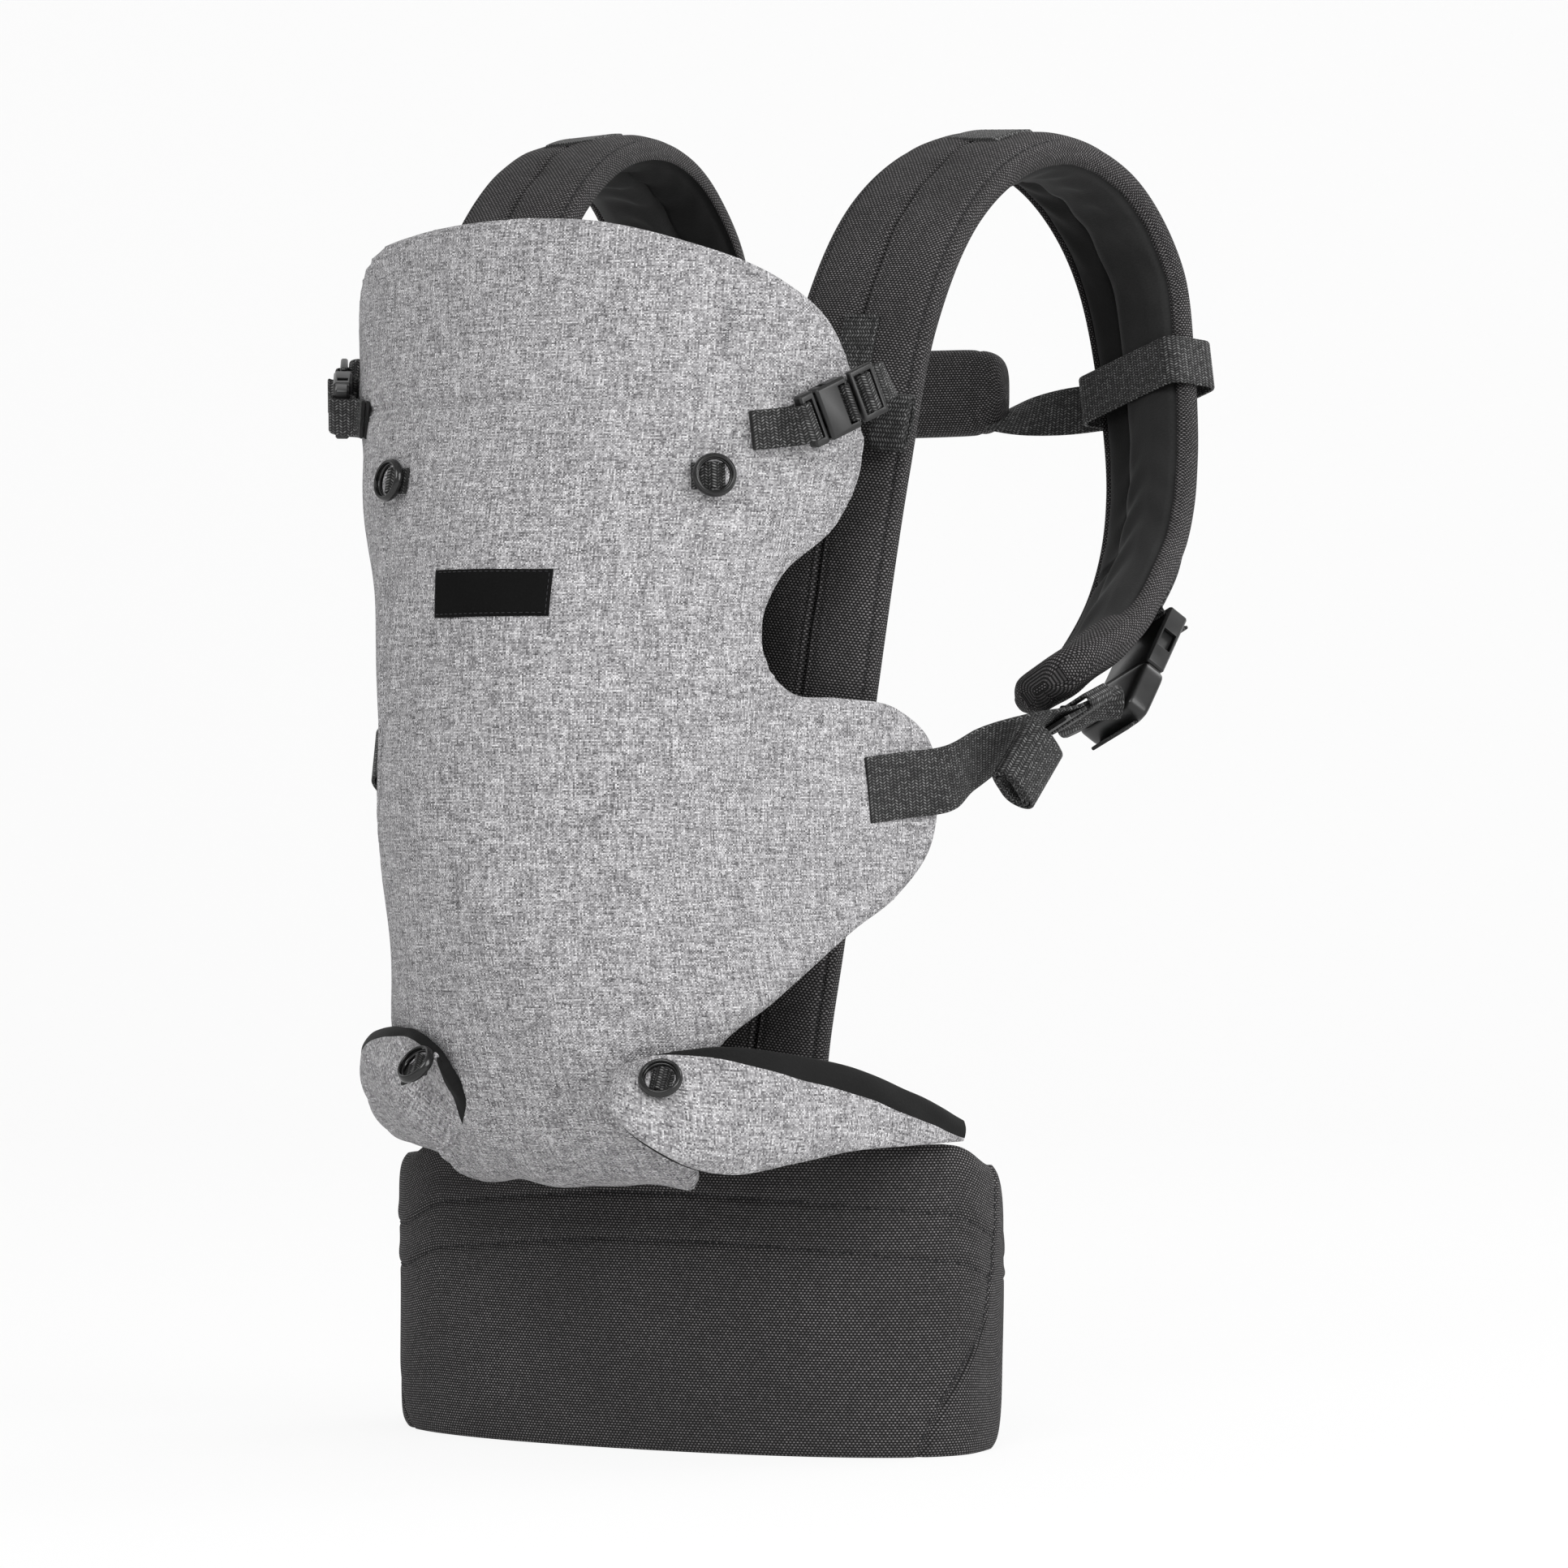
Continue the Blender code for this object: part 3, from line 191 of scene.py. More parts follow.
class Finish:
    """One material; node() makes any node, and the other methods make the ones used often."""

    def __init__(self, name, roughness, **constants):
        self.material = bpy.data.materials.new(name)
        self.material.use_nodes = True
        self.tree = self.material.node_tree
        self.shader = self.tree.nodes["Principled BSDF"]
        self.shader.inputs["Roughness"].default_value = roughness
        for key, value in constants.items():
            self.shader.inputs[key.replace("_", " ")].default_value = value

    def node(self, kind, settings=None, values=(), out=0):
        """Any node: its settings are set first, then its sockets get values or links."""
        made = self.tree.nodes.new(kind)
        for key, value in (settings or {}).items():
            if key == "stops":
                ramp = made.color_ramp
                while len(ramp.elements) < len(value):
                    ramp.elements.new(0.5)
                for element, (at, colour) in zip(ramp.elements, value):
                    element.position = at
                    element.color = colour
            else:
                setattr(made, key, value)
        pairs = values.items() if isinstance(values, dict) else enumerate(values)
        for key, value in pairs:
            if isinstance(value, Wire):
                self.tree.links.new(value.socket, made.inputs[key])
            elif value is not None:
                made.inputs[key].default_value = value
        return Wire(self, made.outputs[out])

    def uv(self):
        """Across and along the cloth, in metres."""
        place = self.node("ShaderNodeUVMap", {"uv_map": "cloth"})
        split = self.node("ShaderNodeSeparateXYZ", None, [place])
        return split, Wire(self, split.socket.node.outputs[1])

    def vector(self, x, y):
        return self.node("ShaderNodeCombineXYZ", None, [x, y])

    def chance(self, x, y):
        """The same random number, 0 to 1, for the same pair of whole numbers."""
        return self.node("ShaderNodeTexWhiteNoise", {"noise_dimensions": "2D"}, [self.vector(x, y)])

    def cloud(self, where, scale, detail=2.0):
        """Soft noise about 0.5, with this many blobs to a metre."""
        return self.node("ShaderNodeTexNoise", None, {"Vector": where, "Scale": scale, "Detail": detail})

    def place(self):
        """Object coordinates, in metres."""
        return self.node("ShaderNodeTexCoord", None, (), 3)

    def choose(self, share, low, high):
        """low where share is 0, high where it is 1."""
        return self.node("ShaderNodeMix", {"data_type": "FLOAT"}, {0: share, 2: low, 3: high})

    def ramp(self, value, *stops):
        """Colour for a value, from stops of a place and a grey or a colour."""
        stops = [(at, (c, c, c, 1.0) if isinstance(c, float) else (*c, 1.0)) for at, c in stops]
        return self.node("ShaderNodeValToRGB", {"stops": stops}, [value])

    def wear(self, colour, roughness=None, height=None, depth=0.0004, strength=1.0):
        """Send colour, roughness and height to the shader."""
        self.tree.links.new(colour.socket, self.shader.inputs["Base Color"])
        if roughness is not None:
            self.tree.links.new(roughness.socket, self.shader.inputs["Roughness"])
        if height is not None:
            bump = self.node("ShaderNodeBump", None,
                             {"Strength": strength, "Distance": depth, "Height": height})
            self.tree.links.new(bump.socket, self.shader.inputs["Normal"])
        return self.material


def heather_weave(name):
    """Light grey plain weave: every yarn changes shade along its length, in short slubs."""
    f = Finish(name, 0.92, Specular_IOR_Level=0.15, Sheen_Weight=0.1, Sheen_Roughness=0.5)
    u, v = f.uv()
    wobble = f.cloud(f.vector(u, v), 140.0) - 0.5
    warp = (u + wobble * 0.0007) / 0.00080
    weft = (v + wobble * 0.0007) / 0.00074
    across, along = warp.floor(), weft.floor()
    over = (across + along).mod(2.0)
    slub_a = f.chance(across, (v / 0.0062 + f.chance(across, 3.0) * 9.0).floor())
    slub_b = f.chance(along + 511.0, (u / 0.0068 + f.chance(along, 5.0) * 9.0).floor())
    speck = f.chance(across + 0.31, along + 0.77)
    tone = f.choose(over, slub_a, slub_b) * 0.42 + speck * 0.46
    streak_a = f.cloud(f.vector(u * 620.0, v * 22.0), 1.0)
    streak_b = f.cloud(f.vector(u * 24.0, v * 640.0), 1.0)
    haze = f.cloud(f.vector(u, v), 30.0)
    tone = tone + (streak_a + streak_b - 1.0) * 0.22 + (haze - 0.5) * 0.05
    colour = f.ramp(tone, (0.0, (0.080, 0.078, 0.082)), (0.28, (0.245, 0.240, 0.248)),
                    (0.56, (0.465, 0.458, 0.469)), (0.92, (0.860, 0.852, 0.866)))
    height = f.choose(over, warp.fract().hump(), weft.fract().hump()) + speck * 0.3
    return f.wear(colour, 0.86 + tone * 0.1, height, 0.0004, 0.8)


def canvas_weave(name, dark=0.0055, light=0.062, fleck_and_highlight=0.28):
    """Charcoal canvas: rows of raised stitches, every other row set half a stitch along, with a painted
    highlight on each stitch's crown and painted shade between stitches.
    """
    f = Finish(name, 0.8, Specular_IOR_Level=0.2)
    u, v = f.uv()
    rows = v / 0.00125
    row = rows.floor()
    cells = u / 0.00176 + row.mod(2.0) * 0.5
    bead = cells.fract().hump() * rows.fract().hump()
    luck = f.chance(cells.floor(), row)
    haze = f.cloud(f.vector(u, v), 11.0)
    # shine is a painted highlight: colour lighter on each stitch's crown and darker between stitches
    # (painted shade), varied per stitch at random and by a soft cloud
    shine = bead ** 1.5 * (0.74 + luck * 0.26) * (0.72 + haze * 0.5)
    # dark is the painted shade between stitches; light and the top stop are the painted highlight,
    # brightest on crowns whose random share is high
    stops = ((0.0, dark), (0.35, light * 0.55), (0.68, light * 1.8), (1.0, fleck_and_highlight))
    colour = f.ramp(shine, *((at, (c * 1.03, c * 0.985, c)) for at, c in stops))
    return f.wear(colour, 0.88 - bead * 0.22, bead, 0.0005, 0.8)


def webbing_weave(name, light=0.088):
    """Black webbing: ribs across it, made of slanted floats that turn from rib to rib, with a painted
    highlight on each float's crown and painted shade in the grooves.
    """
    f = Finish(name, 0.65, Specular_IOR_Level=0.25)
    u, v = f.uv()
    columns = v / 0.00205
    column = columns.floor()
    lean = column.mod(2.0) * 2.0 - 1.0
    rows = u / 0.00135 + lean * columns.fract() * 0.8
    bead = rows.fract().hump() * (0.35 + columns.fract().hump() * 0.65)
    luck = f.chance(column, rows.floor())
    # shine is a painted highlight on each float's crown, varied per float at random
    shine = bead ** 1.3 * (0.5 + luck * 0.6)
    # light sets the painted highlight's tone; the darkest stop is the painted shade in the grooves
    colour = f.ramp(shine, (0.0, 0.004), (0.35, light * 0.3), (0.72, light), (1.0, light * 2.3))
    return f.wear(colour, 0.7 - bead * 0.25, bead, 0.00045, 0.9)


def knit_lining(name, tone=0.016, shine=0.18):
    """Smooth dark knit with a soft sheen and a fine, uneven grain."""
    f = Finish(name, 0.8, Specular_IOR_Level=shine, Sheen_Weight=shine / 6, Sheen_Roughness=0.5)
    u, v = f.uv()
    fine = f.cloud(f.vector(u, v), 900.0)
    broad = f.cloud(f.vector(u, v), 30.0, 3.0)
    colour = f.ramp(fine * 0.6 + broad * 0.4, (0.25, tone * 0.6), (0.75, tone * 1.7))
    return f.wear(colour, 0.6 + fine * 0.25, fine, 0.0003, 0.5)


def moulded_black(name, roughness=0.32, tone=0.009):
    """Moulded black plastic, satin, with a faint grain and slightly paler wear."""
    f = Finish(name, roughness, Specular_IOR_Level=0.5)
    where = f.place()
    grain = f.cloud(where, 1400.0)
    broad = f.cloud(where, 60.0, 3.0)
    colour = f.ramp(broad, (0.3, tone * 0.7), (0.75, tone * 1.5))
    return f.wear(colour, roughness - 0.06 + broad * 0.16, grain, 0.00008, 0.25)


def sewing_thread(name, tone):
    """Twisted thread: fine paler and darker strands."""
    f = Finish(name, 0.6, Specular_IOR_Level=0.3)
    where = f.place()
    twist = f.cloud(where, 2500.0, 1.0)
    colour = f.ramp(twist, (0.3, tuple(c * 0.6 for c in tone)), (0.7, tuple(c * 1.25 for c in tone)))
    return f.wear(colour, None, twist, 0.0002, 0.4)


HEATHER = heather_weave("heather_cloth")
CANVAS = canvas_weave("charcoal_canvas")
LINING = knit_lining("black_lining", 0.0075, 0.12)
PAD_KNIT = knit_lining("strap_knit", 0.014)
WEBBING = webbing_weave("black_webbing")
LABEL = knit_lining("label_satin", 0.0040, 0.06)
BUCKLE = moulded_black("buckle_plastic")
GLOSS = moulded_black("ring_plastic", 0.16, 0.007)
GREY_THREAD = sewing_thread("grey_thread", (0.42, 0.42, 0.43))
BLACK_THREAD = sewing_thread("black_thread", (0.02, 0.02, 0.022))


# Meshes
def patch(points, uv, slot=0):
    """Quads over an n x m grid; the outward side is where rows x columns points."""
    n, m = points.shape[:2]
    at = np.arange(n * m).reshape(n, m)
    faces = np.stack([at[:-1, :-1], at[1:, :-1], at[1:, 1:], at[:-1, 1:]], axis=-1).reshape(-1, 4)
    slots = np.broadcast_to(np.asarray(slot), (n - 1, m - 1)).reshape(-1)
    return points.reshape(-1, 3), uv.reshape(-1, 2), faces, slots


def rim_wall(low, top, uv):
    """Wall between the borders of two grids, one above the other."""
    def border(g):
        return np.concatenate([g[:, 0], g[-1, 1:], g[-2::-1, -1], g[0, -2::-1]])
    return patch(np.stack([border(low), border(top)], 1), np.stack([border(uv), border(uv)], 1))


def slab(top, low, uv):
    """Thin closed piece between two grids of the same shape."""
    return [patch(top, uv), patch(low[::-1], uv[::-1]), rim_wall(low, top, uv)]


def end_cap(ring, uv):
    """Fan from a closed ring of points to its middle."""
    hub = np.broadcast_to(ring.mean(axis=0), ring.shape)
    return patch(np.stack([ring, hub]), np.stack([uv, uv]))


def cloth_mesh(name, verts, uvs, faces, slots, materials):
    """Mesh of the given faces, with a UV map in metres and a material slot for each face."""
    mesh = bpy.data.meshes.new(name)
    mesh.from_pydata(verts.tolist(), [], faces)
    loops = np.empty(len(mesh.loops), np.int32)
    mesh.loops.foreach_get("vertex_index", loops)
    layer = mesh.uv_layers.new(name="cloth")
    layer.data.foreach_set("uv", uvs[loops].astype(np.float32).reshape(-1))
    mesh.polygons.foreach_set("material_index", slots.astype(np.int32))
    for material in materials:
        mesh.materials.append(material)
    return mesh


def show(name, mesh, sharp):
    """Smooth a mesh but for edges sharper than an angle in degrees, and put it in the scene."""
    mesh.shade_smooth()
    mesh.set_sharp_from_angle(angle=math.radians(sharp))
    piece = bpy.data.objects.new(name, mesh)
    bpy.context.scene.collection.objects.link(piece)
    return piece


def make(name, patches, materials, sharp=50.0, merge=2e-6, outward=True):
    """Join patches into one piece, close its seams and turn its faces outwards."""
    start, verts, uvs, faces, slots = 0, [], [], [], []
    for points, uv, quads, slot in patches:
        verts.append(points)
        uvs.append(uv)
        faces.append(quads + start)
        slots.append(slot)
        start += len(points)
    mesh = cloth_mesh(name, np.concatenate(verts), np.concatenate(uvs),
                      np.concatenate(faces).tolist(), np.concatenate(slots), materials)
    bm = bmesh.new()
    bm.from_mesh(mesh)
    bmesh.ops.remove_doubles(bm, verts=bm.verts[:], dist=merge)
    bmesh.ops.dissolve_degenerate(bm, edges=bm.edges[:], dist=merge)
    if outward:
        bmesh.ops.recalc_face_normals(bm, faces=bm.faces[:])
    bm.to_mesh(mesh)
    bm.free()
    return show(name, mesh, sharp)


def dress(piece, body, nodes=()):
    """Say which body a piece rides on, and hide the solids it stands for."""
    if body:
        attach(piece, body)
    if nodes:
        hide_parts(*nodes)
    return piece


def carry(path, side, section, flat=False):
    """Closed section carried along a path: its first number goes along side, its second along
    the path's normal. A flat one has its weave straight across. Returns the wall and two caps."""
    path, side = np.asarray(path, float), np.asarray(side, float)
    along = unit(np.gradient(path, axis=0))
    side = unit(side - along * np.sum(side * along, axis=1, keepdims=True))
    up = np.cross(along, side)
    section = np.asarray(section, float)
    ring = np.concatenate([section, section[..., :1, :]], axis=-2)
    ring = np.broadcast_to(ring, (len(path), *ring.shape[-2:]))
    wall = path[:, None] + side[:, None] * ring[..., :1] + up[:, None] * ring[..., 1:]
    around = ring[0, :, 0] if flat else lengths(ring[0])
    uv = spread(around[None, :], lengths(path)[:, None])
    patches = [patch(wall, uv)]
    for i in (0, -1):
        hub = np.broadcast_to(wall[i, :-1].mean(axis=0), wall[i].shape)
        rows = np.stack([wall[i], hub]) if i else np.stack([hub, wall[i]])
        patches.append(patch(rows, np.stack([uv[i], uv[i]])))
    return patches


def web_section(width, thick=0.0018):
    """Flat webbing with rounded edges, as a closed loop of points."""
    r = thick / 2
    a = np.radians(np.linspace(-90, 90, 5))
    right = np.stack([width / 2 - r + r * np.cos(a), r * np.sin(a)], axis=1)
    top = np.stack([np.linspace(width / 2 - r, -width / 2 + r, 9)[1:-1], np.full(7, r)], axis=1)
    return np.concatenate([right, top, -right, -top])


def ribbon(name, path, wide, width, rows=60, body="carrier", nodes=(), thick=0.0018):
    """Webbing along a smooth curve through the points, turning its width as it goes."""
    at = lengths(path)
    t = np.linspace(0.0, at[-1], rows)
    patches = carry(smooth(at, path)(t), smooth(at, unit(wide))(t), web_section(width, thick), True)
    return dress(make(name, patches, [WEBBING]), body, nodes)


def stitches(name, path, out, material, body, length=0.0026, gap=0.0011, radius=0.00033):
    """Row of stitches along a path, from a stitch's length, the gap and the thread's radius: each
    is a short bowed thread, thinner and sunk at both ends."""
    path, out = np.asarray(path, float), np.asarray(out, float)
    at = lengths(path)
    count = max(int(at[-1] / (length + gap)), 1)
    mids = (np.arange(count) + 0.5) * at[-1] / count

    def follow(rows, ahead=0.0):
        return np.stack([np.interp(mids + ahead, at, row) for row in rows.T], axis=1)

    along = unit(follow(path, 1e-4) - follow(path, -1e-4))
    up = follow(out)
    up = unit(up - along * np.sum(up * along, axis=1, keepdims=True))
    side = np.cross(along, up)
    x = np.linspace(-1, 1, 6)[:, None]
    a = np.linspace(0, 2 * np.pi, 7)[None]
    thin = radius * np.sqrt(np.clip(1 - (x * 0.96) ** 4, 0, 1))
    lift = radius * (0.9 - 1.5 * x ** 4)
    thread = spread(x * length / 2, thin * np.cos(a), lift + thin * np.sin(a))
    rows = (follow(path)[:, None, None] + along[:, None, None] * thread[..., :1]
            + side[:, None, None] * thread[..., 1:2] + up[:, None, None] * thread[..., 2:])
    verts, uv, quads, slots = patch(thread, thread[..., :2])
    faces = (quads[None] + len(verts) * np.arange(count)[:, None, None]).reshape(-1, 4)
    patches = [(rows.reshape(-1, 3), np.tile(0 * uv, (count, 1)), faces, np.tile(slots, count))]
    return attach(make(name, patches, [material], 80), body)


# Front panel over its flat pattern
BELT_HEIGHT = 0.146
BELT_FRONT_Y = -0.099
PANEL_COVER = 0.0030
PANEL_LINING = 0.0042
SEAM_Q = 0.4345
FOLD_MIDDLE = 0.035
FOLD_SIDE = 0.114
# Middle line of the panel: forward and up from the belt's top edge, bend radius, wrap in degrees
PANEL_LINE = np.array((
    (-0.0065, -0.0040, 0.440, 60), (-0.027, -0.0145, 0.330, 60), (-0.053, -0.0135, 0.220, 60),
    (-0.077, 0.002, 0.155, 60), (-0.096, 0.028, 0.122, 61), (-0.113, 0.068, 0.104, 62),
    (-0.125, 0.116, 0.096, 63), (-0.129, 0.173, 0.096, 64), (-0.126, 0.248, 0.106, 64),
    (-0.113, 0.306, 0.128, 65), (-0.104, 0.343, 0.142, 65), (-0.0925, 0.4315, 0.161, 62)))
# Right half of the flat pattern's outline, from the hem's middle up to the top's middle
PANEL_EDGE = np.array((
    (0.038, 0.0), (0.0465, 0.018), (0.0645, 0.050), (0.0770, 0.100), (0.099, 0.1335),
    (0.132, 0.154), (0.158, 0.171), (0.184, 0.188), (0.2095, 0.203), (0.2335, 0.2295),
    (0.2375, 0.248), (0.2325, 0.277), (0.213, 0.291), (0.180, 0.2955), (0.152, 0.298),
    (0.1395, 0.308), (0.1335, 0.3305), (0.1405, 0.3505), (0.1675, 0.377), (0.1755, 0.401),
    (0.166, 0.4365), (0.1435, 0.475), (0.123, 0.4895), (0.074, 0.508), (0.035, 0.517),
    (0.0, 0.5195)))
profile_points = PANEL_LINE[:, :2] + (BELT_FRONT_Y, BELT_HEIGHT)
profile_q = lengths(profile_points)
profile_curve = smooth(profile_q, profile_points)
bend_curve = smooth(profile_q, np.stack([PANEL_LINE[:, 2], np.radians(PANEL_LINE[:, 3])], axis=1))


def panel(s, q):
    """The panel bends round a radius up to its wrap angle, then runs on straight: s is the cloth
    length across from the middle, q the cloth length up from the hem."""
    s, q = np.broadcast_arrays(np.asarray(s, float), np.asarray(q, float))
    yz = profile_curve(q)
    radius, wrap = np.moveaxis(bend_curve(q), -1, 0)
    turn = np.minimum(np.abs(s) / radius, wrap)
    rest = np.maximum(np.abs(s) - radius * wrap, 0.0)
    x = radius * np.sin(turn) + rest * np.cos(wrap)
    back = radius * (1 - np.cos(turn)) + rest * np.sin(wrap)
    return np.stack([np.sign(s) * x, yz[..., 0] + back, yz[..., 1]], axis=-1)


def panel_frame(s, q, out=0.0):
    """Point lifted off the panel, with its across, up and outward directions."""
    d = 0.0008
    across = unit(panel(s + d, q) - panel(s - d, q))
    up = panel(s, q + d) - panel(s, q - d)
    normal = unit(np.cross(across, up))
    out = np.asarray(out, float)[..., None]
    return panel(s, q) + out * normal, across, np.cross(normal, across), normal


def half_outline(points):
    """Points at even steps along a smooth curve through an outline's corners."""
    at = lengths(points)
    return smooth(at, points)(np.linspace(0, at[-1], 460))


# The left top corner is stuffed fuller than the right one
LEFT_CORNER = np.array((
    (0.1690, 0.4400), (0.1600, 0.4690), (0.1480, 0.4890), (0.1310, 0.5030), (0.1090, 0.5110),
    (0.0740, 0.5155), (0.0350, 0.5185), (0.0, 0.5195)))
left_half = half_outline(np.concatenate([PANEL_EDGE[:20], LEFT_CORNER]))
OUTLINE = np.concatenate([half_outline(PANEL_EDGE), left_half[-2::-1] * (-1, 1)])


def from_edge(s, q):
    """Distance to the pattern's outline."""
    a, b = OUTLINE, np.roll(OUTLINE, -1, axis=0)
    best = np.full(len(s), 1.0)
    for part in np.array_split(np.arange(len(a)), 8):
        ax, ay = a[part, 0][:, None], a[part, 1][:, None]
        dx, dy = (b[part, 0] - a[part, 0])[:, None], (b[part, 1] - a[part, 1])[:, None]
        u = np.clip(((s - ax) * dx + (q - ay) * dy) / np.maximum(dx * dx + dy * dy, 1e-12), 0, 1)
        best = np.minimum(best, np.hypot(s - ax - u * dx, q - ay - u * dy).min(axis=0))
    return best


def shaping_seam(q):
    """Distance from the middle of the sewn line that shapes the seat, at height q."""
    return 0.0735 + 1.55 * (q - 0.335) ** 2 + 0.02 * step(0.27, 0.14, q)


# Buttonhole slits of the head support: place across, lower and upper end
BUTTONHOLES = ((0.0960, 0.4560, 0.4780), (-0.0850, 0.4775, 0.4945))


def panel_swell(s, q):
    """Soft height changes of the cloth: sewn lines draw in, the seat and the sides swell, and
    slanted folds run out of the bottom corners."""
    side = np.abs(s)
    seam = step(0.19, 0.25, q) * (1 - step(0.365, 0.385, q))
    h = -0.0019 * dip(side - shaping_seam(q), 0.0024) * seam
    h += 0.0011 * dip(side - shaping_seam(q) - 0.007, 0.006) * seam
    h += 0.0007 * dip(side - shaping_seam(q) + 0.007, 0.006) * seam
    h -= 0.0016 * dip(q - SEAM_Q, 0.0022)
    h += 0.0010 * dip(q - SEAM_Q - 0.010, 0.007) + 0.0007 * dip(q - SEAM_Q + 0.010, 0.007)
    h += 0.0004 * dip(q - SEAM_Q, 0.006) * np.sin(s * 640 + 2 * np.sin(s * 90))
    for at, low_q, high_q in BUTTONHOLES:
        slit = step(low_q - 0.006, low_q, q) * (1 - step(high_q, high_q + 0.006, q))
        h += (0.0013 * dip(s - at - 0.0032, 0.0026) - 0.0022 * dip(s - at, 0.0014)) * slit
    low = step(0.16, 0.06, q)
    h += 0.0012 * low * np.sin(s * 95 + 34 * q + 0.6) + 0.0006 * low * np.sin(s * 171 - 61 * q)
    mid = step(0.10, 0.2, q) * (1 - step(0.40, 0.45, q))
    h += 0.0010 * mid * np.sin(q * 41 + s * 23 + 1.3 * np.sin(s * 31))
    h += 0.0007 * mid * np.sin(q * 67 - s * 49 + 0.8)
    return h


def cut_pattern():
    """Flat pattern: outline with narrow inset rows along it, cut by a grid of straight lines."""
    bm = bmesh.new()
    face = bm.faces.new([bm.verts.new((s, q, 0.0)) for s, q in OUTLINE])
    for depth in (0.0007, 0.0012, 0.0017):
        bmesh.ops.inset_region(bm, faces=[face], thickness=depth, use_even_offset=True)
    folds = [FOLD_MIDDLE, -FOLD_MIDDLE, FOLD_SIDE, -FOLD_SIDE]
    cuts = np.concatenate([np.arange(-0.236, 0.2365, 0.004), folds])
    rows = np.concatenate([np.arange(0.004, 0.519, 0.0045), SEAM_Q + np.arange(-2, 3) * 0.0015])
    for axis, values in ((0, cuts), (1, rows)):
        for value in values:
            at, normal = [0, 0, 0], [0, 0, 0]
            at[axis], normal[axis] = value, 1
            bmesh.ops.bisect_plane(bm, geom=bm.verts[:] + bm.edges[:] + bm.faces[:], dist=1e-6,
                                   plane_co=at, plane_no=normal)
    bmesh.ops.remove_doubles(bm, verts=bm.verts[:], dist=2e-5)
    bmesh.ops.triangulate(bm, faces=[f for f in bm.faces if len(f.verts) > 4])
    bm.verts.index_update()
    flat = np.array([v.co[:2] for v in bm.verts])
    faces = [[v.index for v in f.verts] for f in bm.faces]
    bm.free()
    quads = np.array([f if len(f) == 4 else f + [f[-1]] for f in faces])
    return flat, quads


PATTERN, PATTERN_FACES = cut_pattern()
PATTERN_EDGE = from_edge(PATTERN[:, 0], PATTERN[:, 1])


PANEL_ROUND = 0.0036
PANEL_EDGE_HALF = 0.0007
PANEL_CORE = (PANEL_COVER - PANEL_LINING) / 2


def panel_shell(name, keep, body, nodes):
    """Closed padded piece of the panel: both faces of the cut pattern, lifted off the panel's
    surface and rounded over towards its outline, with a wall along every open edge, which is
    lining where the edge is a cut inside the pattern."""
    middle = PATTERN[PATTERN_FACES].mean(axis=1)
    faces = PATTERN_FACES[keep(middle[:, 0], middle[:, 1])]
    used, faces = np.unique(faces, return_inverse=True)
    faces = faces.reshape(-1, 4)
    s, q = PATTERN[used].T
    edge = PATTERN_EDGE[used]
    fat = round_off(1 - edge / PANEL_ROUND)
    lift = panel_swell(s, q) * fat
    depth = PANEL_COVER - PANEL_CORE - PANEL_EDGE_HALF
    top = PANEL_CORE + PANEL_EDGE_HALF + depth * fat + lift
    low = PANEL_CORE - PANEL_EDGE_HALF - depth * fat + lift * 0.5
    n = len(used)
    verts = np.concatenate([panel_frame(s, q, top)[0], panel_frame(s, q, low)[0]])
    uv = np.concatenate([np.stack([s, q], 1)] * 2)
    pairs = np.concatenate([faces[:, [i, (i + 1) % 4]] for i in range(4)])
    pairs = pairs[pairs[:, 0] != pairs[:, 1]]
    code = pairs[:, 0] * n + pairs[:, 1]
    open_edges = pairs[~np.isin(code, pairs[:, 1] * n + pairs[:, 0])]
    wall = np.concatenate([open_edges[:, ::-1], open_edges + n], 1)
    quads = np.concatenate([faces, wall, faces[:, ::-1] + n])
    inside = edge[open_edges].max(axis=1) > PANEL_ROUND * 1.25
    slots = np.concatenate([np.zeros(len(faces), int), inside, np.ones(len(faces), int)])
    corners = [list(dict.fromkeys(f)) for f in quads.tolist()]
    piece = show(name, cloth_mesh(name, verts, uv, corners, slots, [HEATHER, LINING]), 55)
    return dress(piece, body, nodes)


panel_shell("front_panel", lambda s, q: (q < SEAM_Q) | (np.abs(s) > FOLD_SIDE), "carrier",
            ("front_panel_cover", "front_panel_lining"))
seam_z = float(panel(0.0, SEAM_Q)[2])
HEADS = (("middle", lambda s, q: (q > SEAM_Q) & (np.abs(s) < FOLD_MIDDLE)),
         ("right", lambda s, q: (q > SEAM_Q) & (s > FOLD_MIDDLE) & (s < FOLD_SIDE)),
         ("left", lambda s, q: (q > SEAM_Q) & (s < -FOLD_MIDDLE) & (s > -FOLD_SIDE)))
for side, keep in HEADS:
    head = panel_shell("head_" + side, keep, None, ("head_support_" + side,))
    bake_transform(head)

GUSSET_LAP = 0.003
GUSSET_WIDTH, GUSSET_HEIGHT = 0.036, 0.078


def head_gusset(side, sign):
    """Thin lining wedge sewn to an outer strip and tucked inside the middle one, wider towards the
    top: it closes the gap that opens between the strips when they fold."""
    q = np.linspace(SEAM_Q + 0.006, 0.512, 24)[:, None]
    u = np.linspace(0, 1, 14)[None]
    taper = (GUSSET_WIDTH - GUSSET_LAP) * (q - SEAM_Q) / GUSSET_HEIGHT
    s = sign * (FOLD_MIDDLE + GUSSET_LAP - (GUSSET_LAP + taper) * u)
    q = q + 0 * s
    core = PANEL_CORE + panel_swell(s, q) * 0.75
    top, low = panel_frame(s, q, core + 0.0005)[0], panel_frame(s, q, core - 0.0005)[0]
    piece = make("head_gusset_" + side, slab(top, low, np.stack([s, q], -1)), [LINING])
    dress(piece, "head_" + side)


for side, sign in SIDES:
    head_gusset(side, sign)

LABEL_HALF_WIDTH = 0.0302
LABEL_HALF_HEIGHT = 0.0109
LABEL_Q = 0.3425


